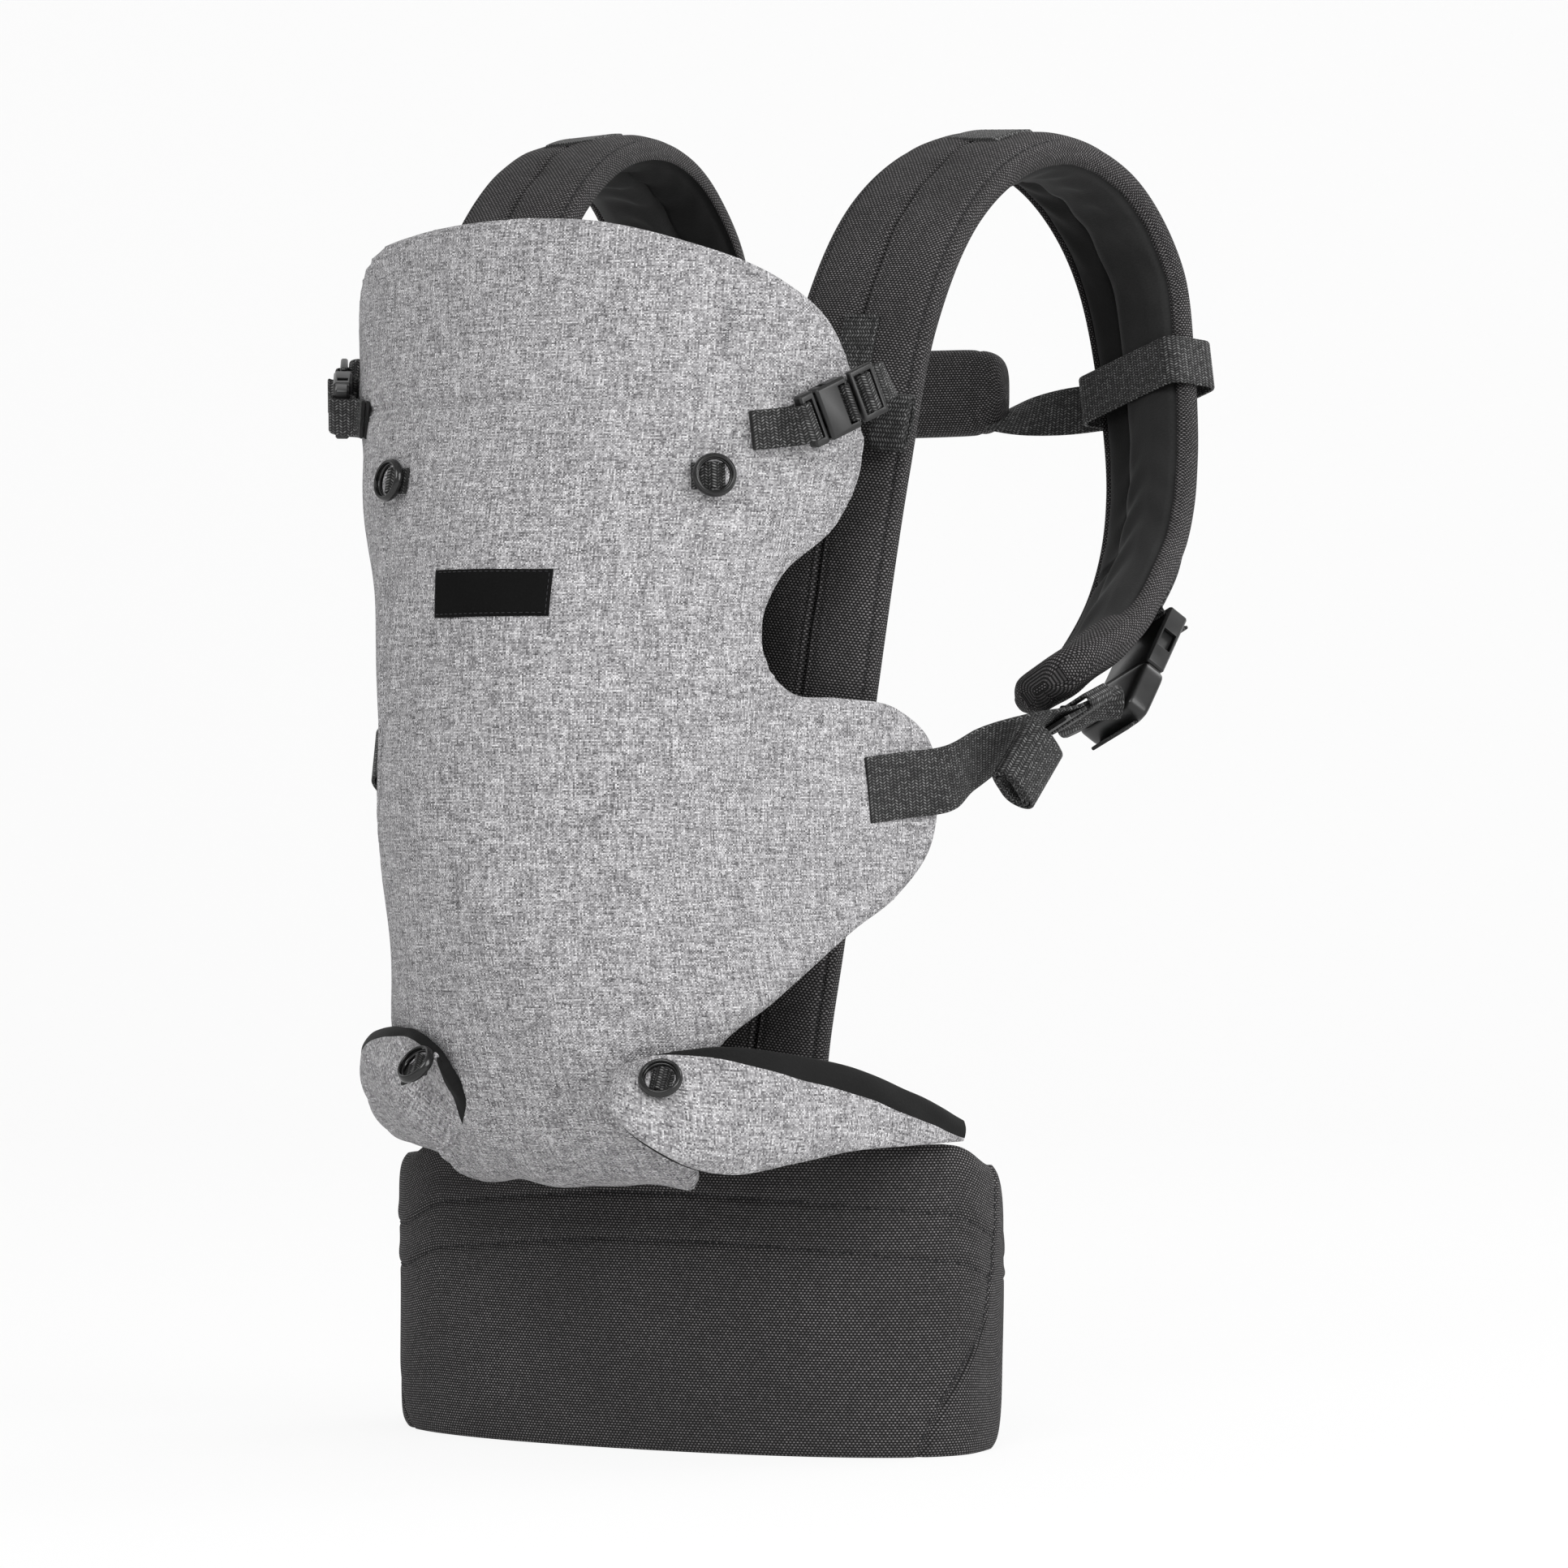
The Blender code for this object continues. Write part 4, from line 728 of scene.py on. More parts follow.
def label():
    """Bare label: a rounded slab that follows the panel, a little proud of it."""
    s, q = np.meshgrid(np.linspace(-1, 1, 40) * LABEL_HALF_WIDTH,
                       np.linspace(-1, 1, 16) * LABEL_HALF_HEIGHT + LABEL_Q, indexing="ij")
    rim = np.minimum(LABEL_HALF_WIDTH - np.abs(s), LABEL_HALF_HEIGHT - np.abs(q - LABEL_Q))
    base = PANEL_COVER + panel_swell(s, q)
    top = panel_frame(s, q, base + 0.0006 + 0.0010 * round_off(1 - rim / 0.0008))[0]
    low = panel_frame(s, q, base + 0.0004)[0]
    piece = make("label", slab(top, low, np.stack([s, q], -1)), [LABEL])
    return dress(piece, "carrier", ("label_patch",))


label()


def on_panel(s, q, lift=PANEL_COVER):
    """Points just on the cloth's outer face, with the outward direction."""
    s, q = np.broadcast_arrays(np.asarray(s, float), np.asarray(q, float))
    lifted = panel_frame(s, q, lift + panel_swell(s, q))
    return lifted[0], lifted[3]


seam_s = np.linspace(-0.113, 0.113, 120)
stitches("head_seam_stitches", *on_panel(seam_s, SEAM_Q - 0.0032), GREY_THREAD, "carrier",
         0.0024, 0.0010, 0.00028)
for side, sign in SIDES:
    q = np.linspace(0.235, 0.372, 60)
    stitches("shaping_stitches_" + side, *on_panel(sign * (shaping_seam(q) + 0.0026), q), GREY_THREAD,
             "carrier", 0.0024, 0.0012, 0.00024)
    at, low_q, high_q = BUTTONHOLES[0 if sign > 0 else 1]
    q = np.linspace(low_q, high_q, 14)
    stitches("buttonhole_" + side, *on_panel(at + 0.0016 + 0 * q, q), GREY_THREAD, "head_" + side,
             0.0007, 0.0003, 0.00045)
LABEL_SEAM_IN = 0.0014
box_s, box_q = box_path(201)
box_s = box_s * (LABEL_HALF_WIDTH - LABEL_SEAM_IN)
box_q = box_q * (LABEL_HALF_HEIGHT - LABEL_SEAM_IN) + LABEL_Q
stitches("label_stitches", *on_panel(box_s, box_q, PANEL_COVER + 0.0015), BLACK_THREAD, "carrier",
         0.0020, 0.0009, 0.00024)


# Hip belt
BELT_HALF_WIDTH = 0.1555
BELT_FRONT_DEPTH = 0.0625
BELT_BACK_DEPTH = 0.108
BELT_CENTRE_Y = -0.0365
BELT_SQUARENESS = 2.2
BELT_FOAM = 0.011
BELT_END = math.radians(118)
BELT_TAPER = math.radians(100)
BELT_END_HEIGHT = 0.056
BELT_CHANNELS = (0.685, 0.836)


def belt_plan(a):
    """Rounded-square plan of the belt at angle a from the front, deeper behind than in front."""
    a = np.asarray(a, float)
    power = 2.0 / BELT_SQUARENESS
    depth = np.where(np.cos(a) > 0, BELT_FRONT_DEPTH, BELT_BACK_DEPTH)
    x = BELT_HALF_WIDTH * np.sign(np.sin(a)) * np.abs(np.sin(a)) ** power
    y = depth * np.sign(np.cos(a)) * np.abs(np.cos(a)) ** power
    return np.stack([x, BELT_CENTRE_Y - y, 0 * a], axis=-1)


def belt_out(a):
    """Level direction out of the belt at angle a."""
    along = belt_plan(a + 0.004) - belt_plan(a - 0.004)
    return unit(np.stack([along[..., 1], -along[..., 0], 0 * along[..., 0]], axis=-1))


def belt_span(a):
    """Bottom and top of the belt at angle a: full height, lower at the sides, narrow at its ends."""
    ease = step(BELT_TAPER, BELT_END, np.abs(a))
    rise = (BELT_HEIGHT - BELT_END_HEIGHT) / 2
    run = np.interp(a, belt_angles, belt_run)
    droop = (0.0115 * step(0.160, 0.200, run) + 0.0125 * step(0.110, 0.150, -run)) * (1 - ease)
    return rise * ease, BELT_HEIGHT - rise * ease - droop


belt_angles = np.linspace(-BELT_END, BELT_END, 281)
belt_run = lengths(belt_plan(belt_angles))
belt_run -= belt_run[140]

# Belt length from the middle at which the curved side seam runs, by share of the height
side_seam = smooth((0.0, 0.19, 0.32, 0.45, 0.60, 0.80, 1.0),
                   (0.1455, 0.1588, 0.1723, 0.1860, 0.1927, 0.1980, 0.2005))


def channel_line(channel, run):
    """Share of the height at which a sewn channel runs: it sinks towards the sides."""
    right = 0.090 * np.clip(run / 0.196, 0, 1) ** 2
    left = 0.68 * (np.hypot(np.clip(-run, 0, 0.15), 0.020) - 0.020)
    return channel - right - left


def belt_face(run, h):
    """Outer face: rounded over at the hems, drawn in along both channels, the side seam and the
    middle seam, and slightly uneven like stuffed cloth."""
    out = -0.0034 * np.abs(2 * h - 1) ** 18 + 0 * run
    for channel in BELT_CHANNELS:
        line = channel_line(channel, run)
        out -= 0.0014 * dip(h - line, 0.010) * (1 - 0.75 * step(0.13, 0.19, np.abs(run)))
        out += 0.0006 * dip(h - line - 0.04, 0.03)
    beside = np.abs(run) - side_seam(h)[..., 0]
    out -= 0.0024 * dip(beside, 0.0019) + 0.0005 * step(0.0, 0.004, beside)
    out -= 0.0005 * dip(run, 0.0012)
    body = 1 - np.abs(2 * h - 1) ** 6
    out += 0.0006 * body * np.sin(run * 47 + 3 * h + 0.4) + 0.0004 * body * np.sin(run * 103 - 7 * h)
    return out + 0.0016


def belt():
    """Closed padded band: outer face from hem to hem, then the lining back down."""
    h_out = np.concatenate([np.linspace(0, 0.06, 9)[:-1], np.linspace(0.06, 0.94, 110),
                            np.linspace(0.94, 1, 9)[1:]])
    h_in = np.linspace(1, 0, 30)
    a = belt_angles[:, None]
    run = belt_run[:, None]
    ends = round_off((np.abs(a) - BELT_END + 0.03) / 0.0302, 0.02)
    inside = -BELT_FOAM - 0.0016 + 0.0036 * np.abs(2 * h_in - 1) ** 10 + 0 * run
    mid = -BELT_FOAM / 2
    low, high = belt_span(a)
    rows, uvs = [], []
    for h, face in ((h_out, belt_face(run, h_out[None])), (h_in, inside)):
        depth = mid + (face - mid) * ends
        height = np.maximum(low + (high - low) * h, 0.0)
        rows.append(belt_plan(a) + belt_out(a) * depth[..., None] + upward(height))
        uvs.append(spread(run, h[None] * BELT_HEIGHT))
    top = np.stack([rows[0][:, -1], rows[1][:, 0]], 1)
    hem = np.stack([rows[1][:, -1], rows[0][:, 0]], 1)
    edge_uv = np.stack([uvs[0][:, -1], uvs[0][:, -1] + (0, 0.006)], 1)
    patches = [patch(rows[0], uvs[0]), patch(top, edge_uv), patch(rows[1], uvs[1], 1), patch(hem, edge_uv)]
    for i in (0, -1):
        patches.append(end_cap(np.concatenate([rows[0][i], rows[1][i], rows[0][i][:1]]),
                               np.concatenate([uvs[0][i], uvs[1][i], uvs[0][i][:1]])))
    piece = make("hip_belt", patches, [CANVAS, LINING])
    return dress(piece, "carrier", ("belt_padding", "belt_cover", "belt_lining"))


belt()


def on_belt(run, h):
    """Points on the belt's outer face, with the outward direction."""
    run, h = np.broadcast_arrays(np.asarray(run, float), np.asarray(h, float))
    a = np.interp(run, belt_run, belt_angles)
    low, high = belt_span(a)
    point = belt_plan(a) + belt_out(a) * belt_face(run, h)[..., None]
    return point + upward(low + (high - low) * h), belt_out(a)


run = np.linspace(-0.196, 0.196, 300)
for i, channel in enumerate(BELT_CHANNELS):
    stitches("belt_stitches_%d" % i, *on_belt(run, channel_line(channel, run)), BLACK_THREAD, "carrier",
             0.0028, 0.0012, 0.00032)
h = np.linspace(0.03, 0.93, 120)
stitches("belt_seam", *on_belt(side_seam(h)[:, 0] - 0.0034, h), BLACK_THREAD, "carrier",
         0.0028, 0.0012, 0.00030)

# Shoulder straps
STRAP_WIDTH = 0.066
STRAP_FOAM = 0.017
STRAP_END_WIDTH = 0.040
LEFT_STRAP_LIFT = 0.009
STRAP_COVER = 0.0018
# Middle line of the right strap from the belt over the shoulder to its tip: place, outward direction
STRAP_LINE = (
    ((0.0640, -0.0860, BELT_HEIGHT + 0.0012), (0.10, -1.0, 0.0)),
    ((0.0647, -0.0870, BELT_HEIGHT + 0.030), (0.10, -1.0, 0.0)),
    ((0.076, -0.0885, 0.250), (0.10, -1.0, 0.0)),
    ((0.0910, -0.0865, 0.360), (0.12, -1.0, 0.06)),
    ((0.102, -0.074, 0.465), (0.12, -1.0, 0.22)),
    ((0.106, -0.053, 0.534), (0.10, -0.90, 0.45)),
    ((0.108, -0.010, 0.587), (0.08, -0.62, 0.78)),
    ((0.112, 0.040, 0.616), (0.06, -0.22, 0.97)),
    ((0.116, 0.092, 0.625), (0.06, 0.12, 0.99)),
    ((0.123, 0.152, 0.609), (0.14, 0.55, 0.83)),
    ((0.128, 0.192, 0.570), (0.26, 0.88, 0.38)),
    ((0.135, 0.196, 0.520), (0.40, 0.90, 0.0)),
    ((0.148, 0.174, 0.470), (0.48, 0.80, -0.25)),
    ((0.159, 0.136, 0.426), (0.50, 0.65, -0.50)),
    ((0.1635, 0.097, 0.397), (0.50, 0.58, -0.60)),
    ((0.164, 0.068, 0.3785), (0.50, 0.56, -0.64)),
    ((0.162, 0.016, 0.3605), (0.50, 0.54, -0.68)),
)
STRAP_T = lengths([p for p, n in STRAP_LINE])
STRAP_LENGTH = STRAP_T[-1]
strap_line = smooth(STRAP_T, [p for p, n in STRAP_LINE])
strap_normal = smooth(STRAP_T, [unit(n) for p, n in STRAP_LINE])


def strap_frame(t):
    """Position, across, along and outward directions of the right strap at length t."""
    t = np.asarray(t, float)
    along = unit(strap_line(t + 0.002) - strap_line(t - 0.002))
    rough = strap_normal(t)
    normal = unit(rough - along * np.sum(rough * along, axis=-1, keepdims=True))
    return strap_line(t), np.cross(along, normal), along, normal


def strap_width(t):
    """Full width, narrowing over the last part to a rounded tip."""
    u = np.maximum(0.0, 1 - (STRAP_LENGTH - t) / 0.075)
    tip = round_off((t - STRAP_LENGTH + 0.018) / 0.0182, 0.04)
    return (STRAP_WIDTH - (STRAP_WIDTH - STRAP_END_WIDTH) * u * u) * tip


def strap_point(t, e, out, sign=1):
    """Point of a strap at length t and share e across; the left one sits a little higher."""
    t, e, out = (np.asarray(v, float) for v in np.broadcast_arrays(t, e, out))
    centre, across, along, normal = strap_frame(t)
    point = centre + across * (e * strap_width(t) / 2)[..., None] + normal * out[..., None]
    if sign > 0:
        return point
    rise = np.clip((t - STRAP_T[3]) / (STRAP_T[12] - STRAP_T[3]), 0.0, 1.0)
    return point * hand(sign) + upward(LEFT_STRAP_LIFT * np.sin(np.pi * rise) ** 2)


def strap_stitches(name, t, e, lift, sign, *size):
    """Row of black stitches on a strap, lifted off its middle surface."""
    seam = strap_point(t, e, lift, sign)
    stitches(name, seam, seam - strap_point(t, e, 0.0, sign), BLACK_THREAD, "carrier", *size)


def strap_top(t, e):
    """Crowned outer face, drawn in along the middle seam and beside the binding."""
    out = STRAP_FOAM * (0.5 - 0.34 * np.abs(e) ** 5) + STRAP_COVER + 0 * t
    out -= 0.0024 * dip(e, 0.035) + 0.0006 * dip(np.abs(e) - 0.11, 0.03)
    out -= 0.0012 * dip(np.abs(e) - EDGE_SEAM, 0.03)
    return out + (0.0005 * np.sin(t * 88 + 3 * e) + 0.0004 * np.sin(t * 190 - 5 * e)) * (1 - e ** 2)


# Seams of the strap by share of its half width: beside the edges, and round the inner roll
EDGE_SEAM = 0.885
PAD_SEAM = -0.18
HEM_SEAM = 0.87
STRAP_TIP = 0.052


def strap_low(t, e):
    """Inner face: thin beside the inner edge, then a stuffed roll between two sewn lines, wrinkled
    where the strap bends, then canvas turned in over the outer edge."""
    out = -STRAP_FOAM * (0.5 - 0.40 * np.abs(e) ** 6) - STRAP_COVER + 0 * t
    plain = 1 - step(STRAP_LENGTH - 0.080, STRAP_LENGTH - 0.045, t)
    shape = 0.0032 * step(PAD_SEAM + 0.06, PAD_SEAM - 0.10, e) + 0.0030 * dip(e - PAD_SEAM, 0.05)
    shape -= 0.0024 * step(PAD_SEAM, 0.05, e) * (1 - step(0.5, HEM_SEAM, e))
    shape += 0.0022 * dip(e - HEM_SEAM, 0.04) + 0.0014 * dip(e + 0.9, 0.05)
    out += shape * plain
    crease = 0.35 + step(0.50, 0.58, t) * (1 - step(0.66, 0.72, t))
    crease = crease + step(STRAP_LENGTH - 0.22, STRAP_LENGTH - 0.15, t)
    wrinkle = np.sin(t * 175 + 3 * np.sin(4 * e) + 2 * np.sin(t * 31))
    out += 0.0006 * crease * plain * wrinkle * (1 - e ** 2)
    cross_seam = dip(t - STRAP_LENGTH + 0.135, 0.0022)
    return out + 0.0022 * cross_seam * step(PAD_SEAM + 0.05, PAD_SEAM - 0.05, e)


def strap(side, sign):
    """Closed padded strap: crowned canvas outside, knit padding inside."""
    t = np.linspace(0.0, STRAP_LENGTH, 330)[:, None]
    e = np.sin(np.linspace(-1, 1, 97) * np.pi / 2)[None]
    ends = round_off((t - STRAP_LENGTH + 0.008) / 0.0081, 0.02)
    top = strap_point(t, e, strap_top(t, e) * ends, sign)
    low = strap_point(t, e[:, ::-1], strap_low(t, e[:, ::-1]) * ends, sign)
    run = lengths(top[:, 48])[:, None]
    uv = spread(e * STRAP_WIDTH / 2, run)
    middle = (e[0, 1:] + e[0, :-1])[::-1] / 2
    cloth = np.where(middle > HEM_SEAM, 0, np.where(middle < PAD_SEAM, 2, 1))[None]
    cloth = np.where(t[1:] > STRAP_LENGTH - STRAP_TIP, 0, cloth)
    patches = [patch(top, uv), patch(low, uv[:, ::-1], cloth),
               patch(np.stack([top[:, -1], low[:, 0]], 1), np.stack([uv[:, -1], uv[:, -1]], 1)),
               patch(np.stack([low[:, -1], top[:, 0]], 1), np.stack([uv[:, 0], uv[:, 0]], 1))]
    for i in (0, -1):
        ring = np.concatenate([top[i], low[i], top[i][:1]])
        hub = np.broadcast_to(ring.mean(axis=0), ring.shape)
        centre, across, along, normal = strap_frame(t[i, 0])
        ring_uv = np.stack([(ring - hub) @ across, (ring - hub) @ normal], 1)
        patches.append(patch(np.stack([ring, hub]), np.stack([ring_uv, 0 * ring_uv])))
    nodes = ("shoulder_padding_" + side, "shoulder_cover_" + side, "shoulder_lining_" + side)
    piece = make("shoulder_strap_" + side, patches, [CANVAS, PAD_KNIT, LINING])
    dress(piece, "carrier", nodes)
    row = np.linspace(0.004, STRAP_LENGTH - 0.004, 260)
    for edge, e0 in (("outer", 1.0), ("inner", -1.0)):
        centre = strap_point(row, e0 * 0.985, 0.0004, sign)
        across = strap_point(row, e0, 0.0, sign) - strap_point(row, 0.0, 0.0, sign)
        a = np.linspace(0, 2 * np.pi, 15)[:-1]
        oval = np.stack([0.0016 * np.cos(a), 0.0042 * np.sin(a)], 1)
        binding = make("strap_binding_%s_%s" % (edge, side), carry(centre, across, oval), [CANVAS])
        dress(binding, "carrier")
        e1 = e0 * EDGE_SEAM + 0 * row
        strap_stitches("strap_stitches_%s_%s" % (edge, side), row, e1, strap_top(row, e1), sign,
                       0.0028, 0.0012, 0.00030)
    return piece


for side, sign in SIDES:
    strap(side, sign)


def strap_at(height, front=True):
    """Length along the strap at which its middle line reaches a height, in front or behind."""
    rows = np.linspace(0.0, STRAP_LENGTH, 600)
    z = strap_line(rows)[:, 2]
    top = int(np.argmax(z))
    part = slice(0, top) if front else slice(top, None)
    return float(rows[part][np.argmin(np.abs(z[part] - height))])


PATCH_HALF_LENGTH = 0.017
PATCH_HALF_WIDE = 0.42


def strap_patch(side, sign):
    """Webbing patch sewn across the top of a strap: a thin slab over the crowned face."""
    mid = STRAP_T[7] + 0.022
    t = np.linspace(mid - PATCH_HALF_LENGTH, mid + PATCH_HALF_LENGTH, 36)[:, None]
    e = np.linspace(-PATCH_HALF_WIDE, PATCH_HALF_WIDE, 30)[None]
    rim = np.minimum(PATCH_HALF_LENGTH - np.abs(t - mid), (PATCH_HALF_WIDE - np.abs(e)) * STRAP_WIDTH / 2)
    face = STRAP_FOAM / 2 + STRAP_COVER
    top = strap_point(t, e, face + 0.0001 + 0.0011 * round_off(1 - rim / 0.0010), sign)
    low = strap_point(t, e, face - 0.0006, sign)
    patches = slab(top, low, spread(e * STRAP_WIDTH / 2, t))
    dress(make("strap_patch_" + side, patches, [WEBBING]), "carrier", ("shoulder_patch_" + side,))
    box_t, box_e = box_path(161)
    strap_stitches("patch_stitches_" + side, mid + box_t * 0.0145, box_e * 0.36, face + 0.0008, sign,
                   0.0026, 0.0011, 0.00026)


for side, sign in SIDES:
    strap_patch(side, sign)

# Leg flaps folded up beside the seat
FLAP_P = (0.0, 0.07, 0.15, 0.25, 0.40, 0.52, 0.72, 1.0)
flap_line = smooth(FLAP_P, (
    (0.050, -0.2025, 0.177), (0.064, -0.1990, 0.171), (0.078, -0.1895, 0.1675),
    (0.092, -0.1725, 0.166), (0.111, -0.145, 0.166), (0.125, -0.121, 0.1655),
    (0.141, -0.089, 0.160), (0.150, -0.050, 0.1525)))
flap_half = smooth(FLAP_P, (0.010, 0.020, 0.026, 0.029, 0.025, 0.020, 0.0125, 0.004))
flap_lean = smooth((0.0, 0.07, 0.15, 0.25, 0.5, 1.0), (40, 30, 13, 5, 5, 0))


def folded_leaf(p, r):
    """Middle surface of a flap as sewn: half its height either way from its line, a bit dished."""
    along = unit(flap_line(p + 0.02) - flap_line(p - 0.02))
    flat = unit(np.stack([along[..., 1], -along[..., 0], 0 * p], -1))
    lean = np.radians(flap_lean(p))
    up = upward(np.cos(lean[..., 0])) - flat * np.sin(lean)
    half = flap_half(p)
    return flap_line(p) + up * (half * r[..., None]) + flat * (0.2 * half * (1 - r * r)[..., None])


# The left flap is puffed up and laid further round the seat: its lower and upper edges, mirrored
PUFF_P = (0.0, 0.08, 0.17, 0.26, 0.35, 0.47, 0.60, 0.74, 0.87, 1.0)
puff_low = smooth(PUFF_P, (
    (0.0381, -0.2075, 0.1892), (0.0346, -0.2020, 0.1794), (0.0322, -0.1900, 0.1669),
    (0.0338, -0.1730, 0.1555), (0.0380, -0.1550, 0.1443), (0.0527, -0.1450, 0.1427),
    (0.0820, -0.1280, 0.1441), (0.1113, -0.1000, 0.1452), (0.1332, -0.0730, 0.1462),
    (0.1510, -0.0455, 0.1470)))
puff_top = smooth(PUFF_P, (
    (0.0401, -0.2078, 0.1912), (0.0508, -0.2045, 0.1978), (0.0629, -0.1960, 0.2010),
    (0.0740, -0.1860, 0.2018), (0.0870, -0.1740, 0.2008), (0.1060, -0.1540, 0.1975),
    (0.1220, -0.1300, 0.1915), (0.1350, -0.1030, 0.1830), (0.1450, -0.0750, 0.1690),
    (0.1512, -0.0455, 0.1490)))


def puffed_leaf(p, r):
    """Middle surface of the left flap: straight between its edges, bowed out behind its ring."""
    low, top = puff_low(p), puff_top(p)
    along = unit(puff_low(p + 0.02) + puff_top(p + 0.02) - puff_low(p - 0.02) - puff_top(p - 0.02))
    out = unit(np.cross(along, top - low))
    bow = 0.16 * np.linalg.norm(top - low, axis=-1) * (1 - r * r) * step(0.14, 0.36, p)
    return (low + top) / 2 + (top - low) / 2 * r[..., None] + out * bow[..., None]


def flap_frame(p, r, out=0.0, leaf=folded_leaf):
    """Point lifted off a flap and the outward direction there: p runs from the buttoned end to the
    tip on the belt, r from the lower to the upper edge."""
    p, r, out = (np.asarray(v, float) for v in np.broadcast_arrays(p, r, out))
    along = unit(leaf(np.minimum(p + 0.02, 1), r) - leaf(np.maximum(p - 0.02, 0), r))
    normal = unit(np.cross(along, leaf(p, r + 0.04) - leaf(p, r - 0.04)))
    return leaf(p, r) + normal * out[..., None], normal


def leg_flap(side, sign, leaf, border_line, hem_line, dent):
    """Closed padded leaf: cloth from a hem up to a curved border, black lining round the rest, and
    flattened by a share, dent, under its ring."""
    line = np.linspace(0, 1, 100) ** 1.15
    p = line[:, None]
    border, hem = border_line(line), hem_line(line)
    hem_r = -1 + (hem + 1) * np.linspace(0, 1, 9)[None]
    face_r = hem + (border - hem) * np.linspace(0, 1, 40)[None]
    top_r = border + (1 - border) * np.linspace(0, 1, 18)[None]
    back_r = np.linspace(1, -1, 28)[None] + 0 * p
    ends = round_off(1 - p / 0.05, 0.03)
    half = np.linalg.norm(leaf(line, 1 + 0 * line) - leaf(line, -1 + 0 * line), axis=1)[:, None] / 2

    def rounding(r):
        return round_off((np.abs(r) - 0.86) / 0.14)

    def outer(r):
        puff = 0.0040 + 0.0035 * (1 - r ** 4) * np.minimum(half / 0.02, 1)
        puff *= 1 - dent * (1 - step(0.14, 0.30, p))
        fold = (1 - r ** 2) * np.minimum(half / 0.02, 1)
        soft = fold * (0.0010 * np.sin(p * 21 + 3 * r) + 0.0006 * np.sin(p * 47 - 4 * r))
        return ((puff + soft) * rounding(r) - 0.0003 * (1 - rounding(r))) * ends

    def inner(r):
        return -(0.0032 + 0.0012 * (1 - r ** 2)) * rounding(r) * ends - 0.0003 * (1 - rounding(r))

    strips = ((hem_r, outer), (face_r, outer), (top_r, outer), (back_r, inner))
    rows = [flap_frame(p, r, lift(r), leaf)[0] * hand(sign) for r, lift in strips]
    run = lengths(leaf(line, 0 * line))[:, None]
    uvs = [spread(run, r * half) for r, lift in strips]
    patches = [patch(row, uv, slot) for row, uv, slot in zip(rows, uvs, (1, 0, 1, 1))]
    for i in (0, -1):
        patches.append(end_cap(np.concatenate([row[i] for row in rows] + [rows[0][i][:1]]),
                               np.concatenate([uv[i] for uv in uvs] + [uvs[0][i][:1]])))
    piece = make("leg_flap_" + side, patches, [HEATHER, LINING], 70, 2e-5)
    return dress(piece, "flap_" + side, ("leg_flap_" + side,))


BORDER_P = (0.0, 0.1, 0.25, 0.45, 0.65, 0.85, 1.0)
leg_flap("right", 1, folded_leaf, smooth(BORDER_P, (0.96, 0.92, 0.72, 0.42, 0.10, -0.20, -0.60)),
         smooth(BORDER_P, (-0.97,) * 7), 0.0)
leg_flap("left", -1, puffed_leaf, smooth(BORDER_P, (0.90, 0.90, 0.90, 0.88, 0.70, 0.40, 0.0)),
         smooth(BORDER_P, (-0.66, -0.68, -0.76, -0.92, -0.97, -0.97, -0.97)), 0.55)

# Ring buttons, hinged at their inner edge on a tape
RING_RADIUS = 0.0102
RING_HOLE = 0.0070
RING_DEPTH = 0.0046
RING_TAPE = 0.0124
WEB = 0.0018
GAP = 0.0004


def ring_button(level, side, origin, across, up, normal, sign):
    """Dished ring: a rounded lip turned about its axis, with the tape across its hole."""
    a = np.linspace(0, 2 * np.pi, 65)[:, None]
    h = RING_DEPTH / 2
    mid = (RING_RADIUS + RING_HOLE) / 2
    lip = smooth(np.arange(11), (
        (RING_HOLE, -0.1 * h), (RING_HOLE + 0.0004, -0.7 * h), (mid, -h),
        (RING_RADIUS - 0.0010, -0.95 * h), (RING_RADIUS, -0.2 * h), (RING_RADIUS - 0.0004, 0.6 * h),
        (RING_RADIUS - 0.0013, h), (RING_RADIUS - 0.0022, 0.85 * h), (mid, 0.35 * h),
        (RING_HOLE + 0.0005, 0.25 * h), (RING_HOLE, -0.1 * h)))
    r, z = np.moveaxis(lip(np.linspace(0, 10, 61)), -1, 0)
    x, y = RING_RADIUS + r * np.cos(a), r * np.sin(a)
    grid = origin + x[..., None] * across + y[..., None] * up + (z + 0 * a)[..., None] * normal
    uv = spread(a * mid, np.linspace(0, 0.02, 61)[None])
    where = "%s_%s" % (level, side)
    piece = make("ring_" + where, [patch(grid * hand(sign), uv)], [GLOSS])
    dress(piece, "ring_" + where, ("ring_button_" + where,))
    low = -h - GAP - WEB / 2
    path = [origin + across * x + normal * z for x, z in (
        (0.0, low), (0.004, low), (0.0075, low + 0.0012), (RING_RADIUS, 0.0002),
        (0.0135, low + 0.0008), (0.0153, low))]
    wide = np.array([up] * len(path))
    ribbon("ring_tape_" + where, np.array(path) * hand(sign), wide * hand(sign), RING_TAPE, 40,
           "ring_" + where, ("ring_tape_" + where,), 0.0014)


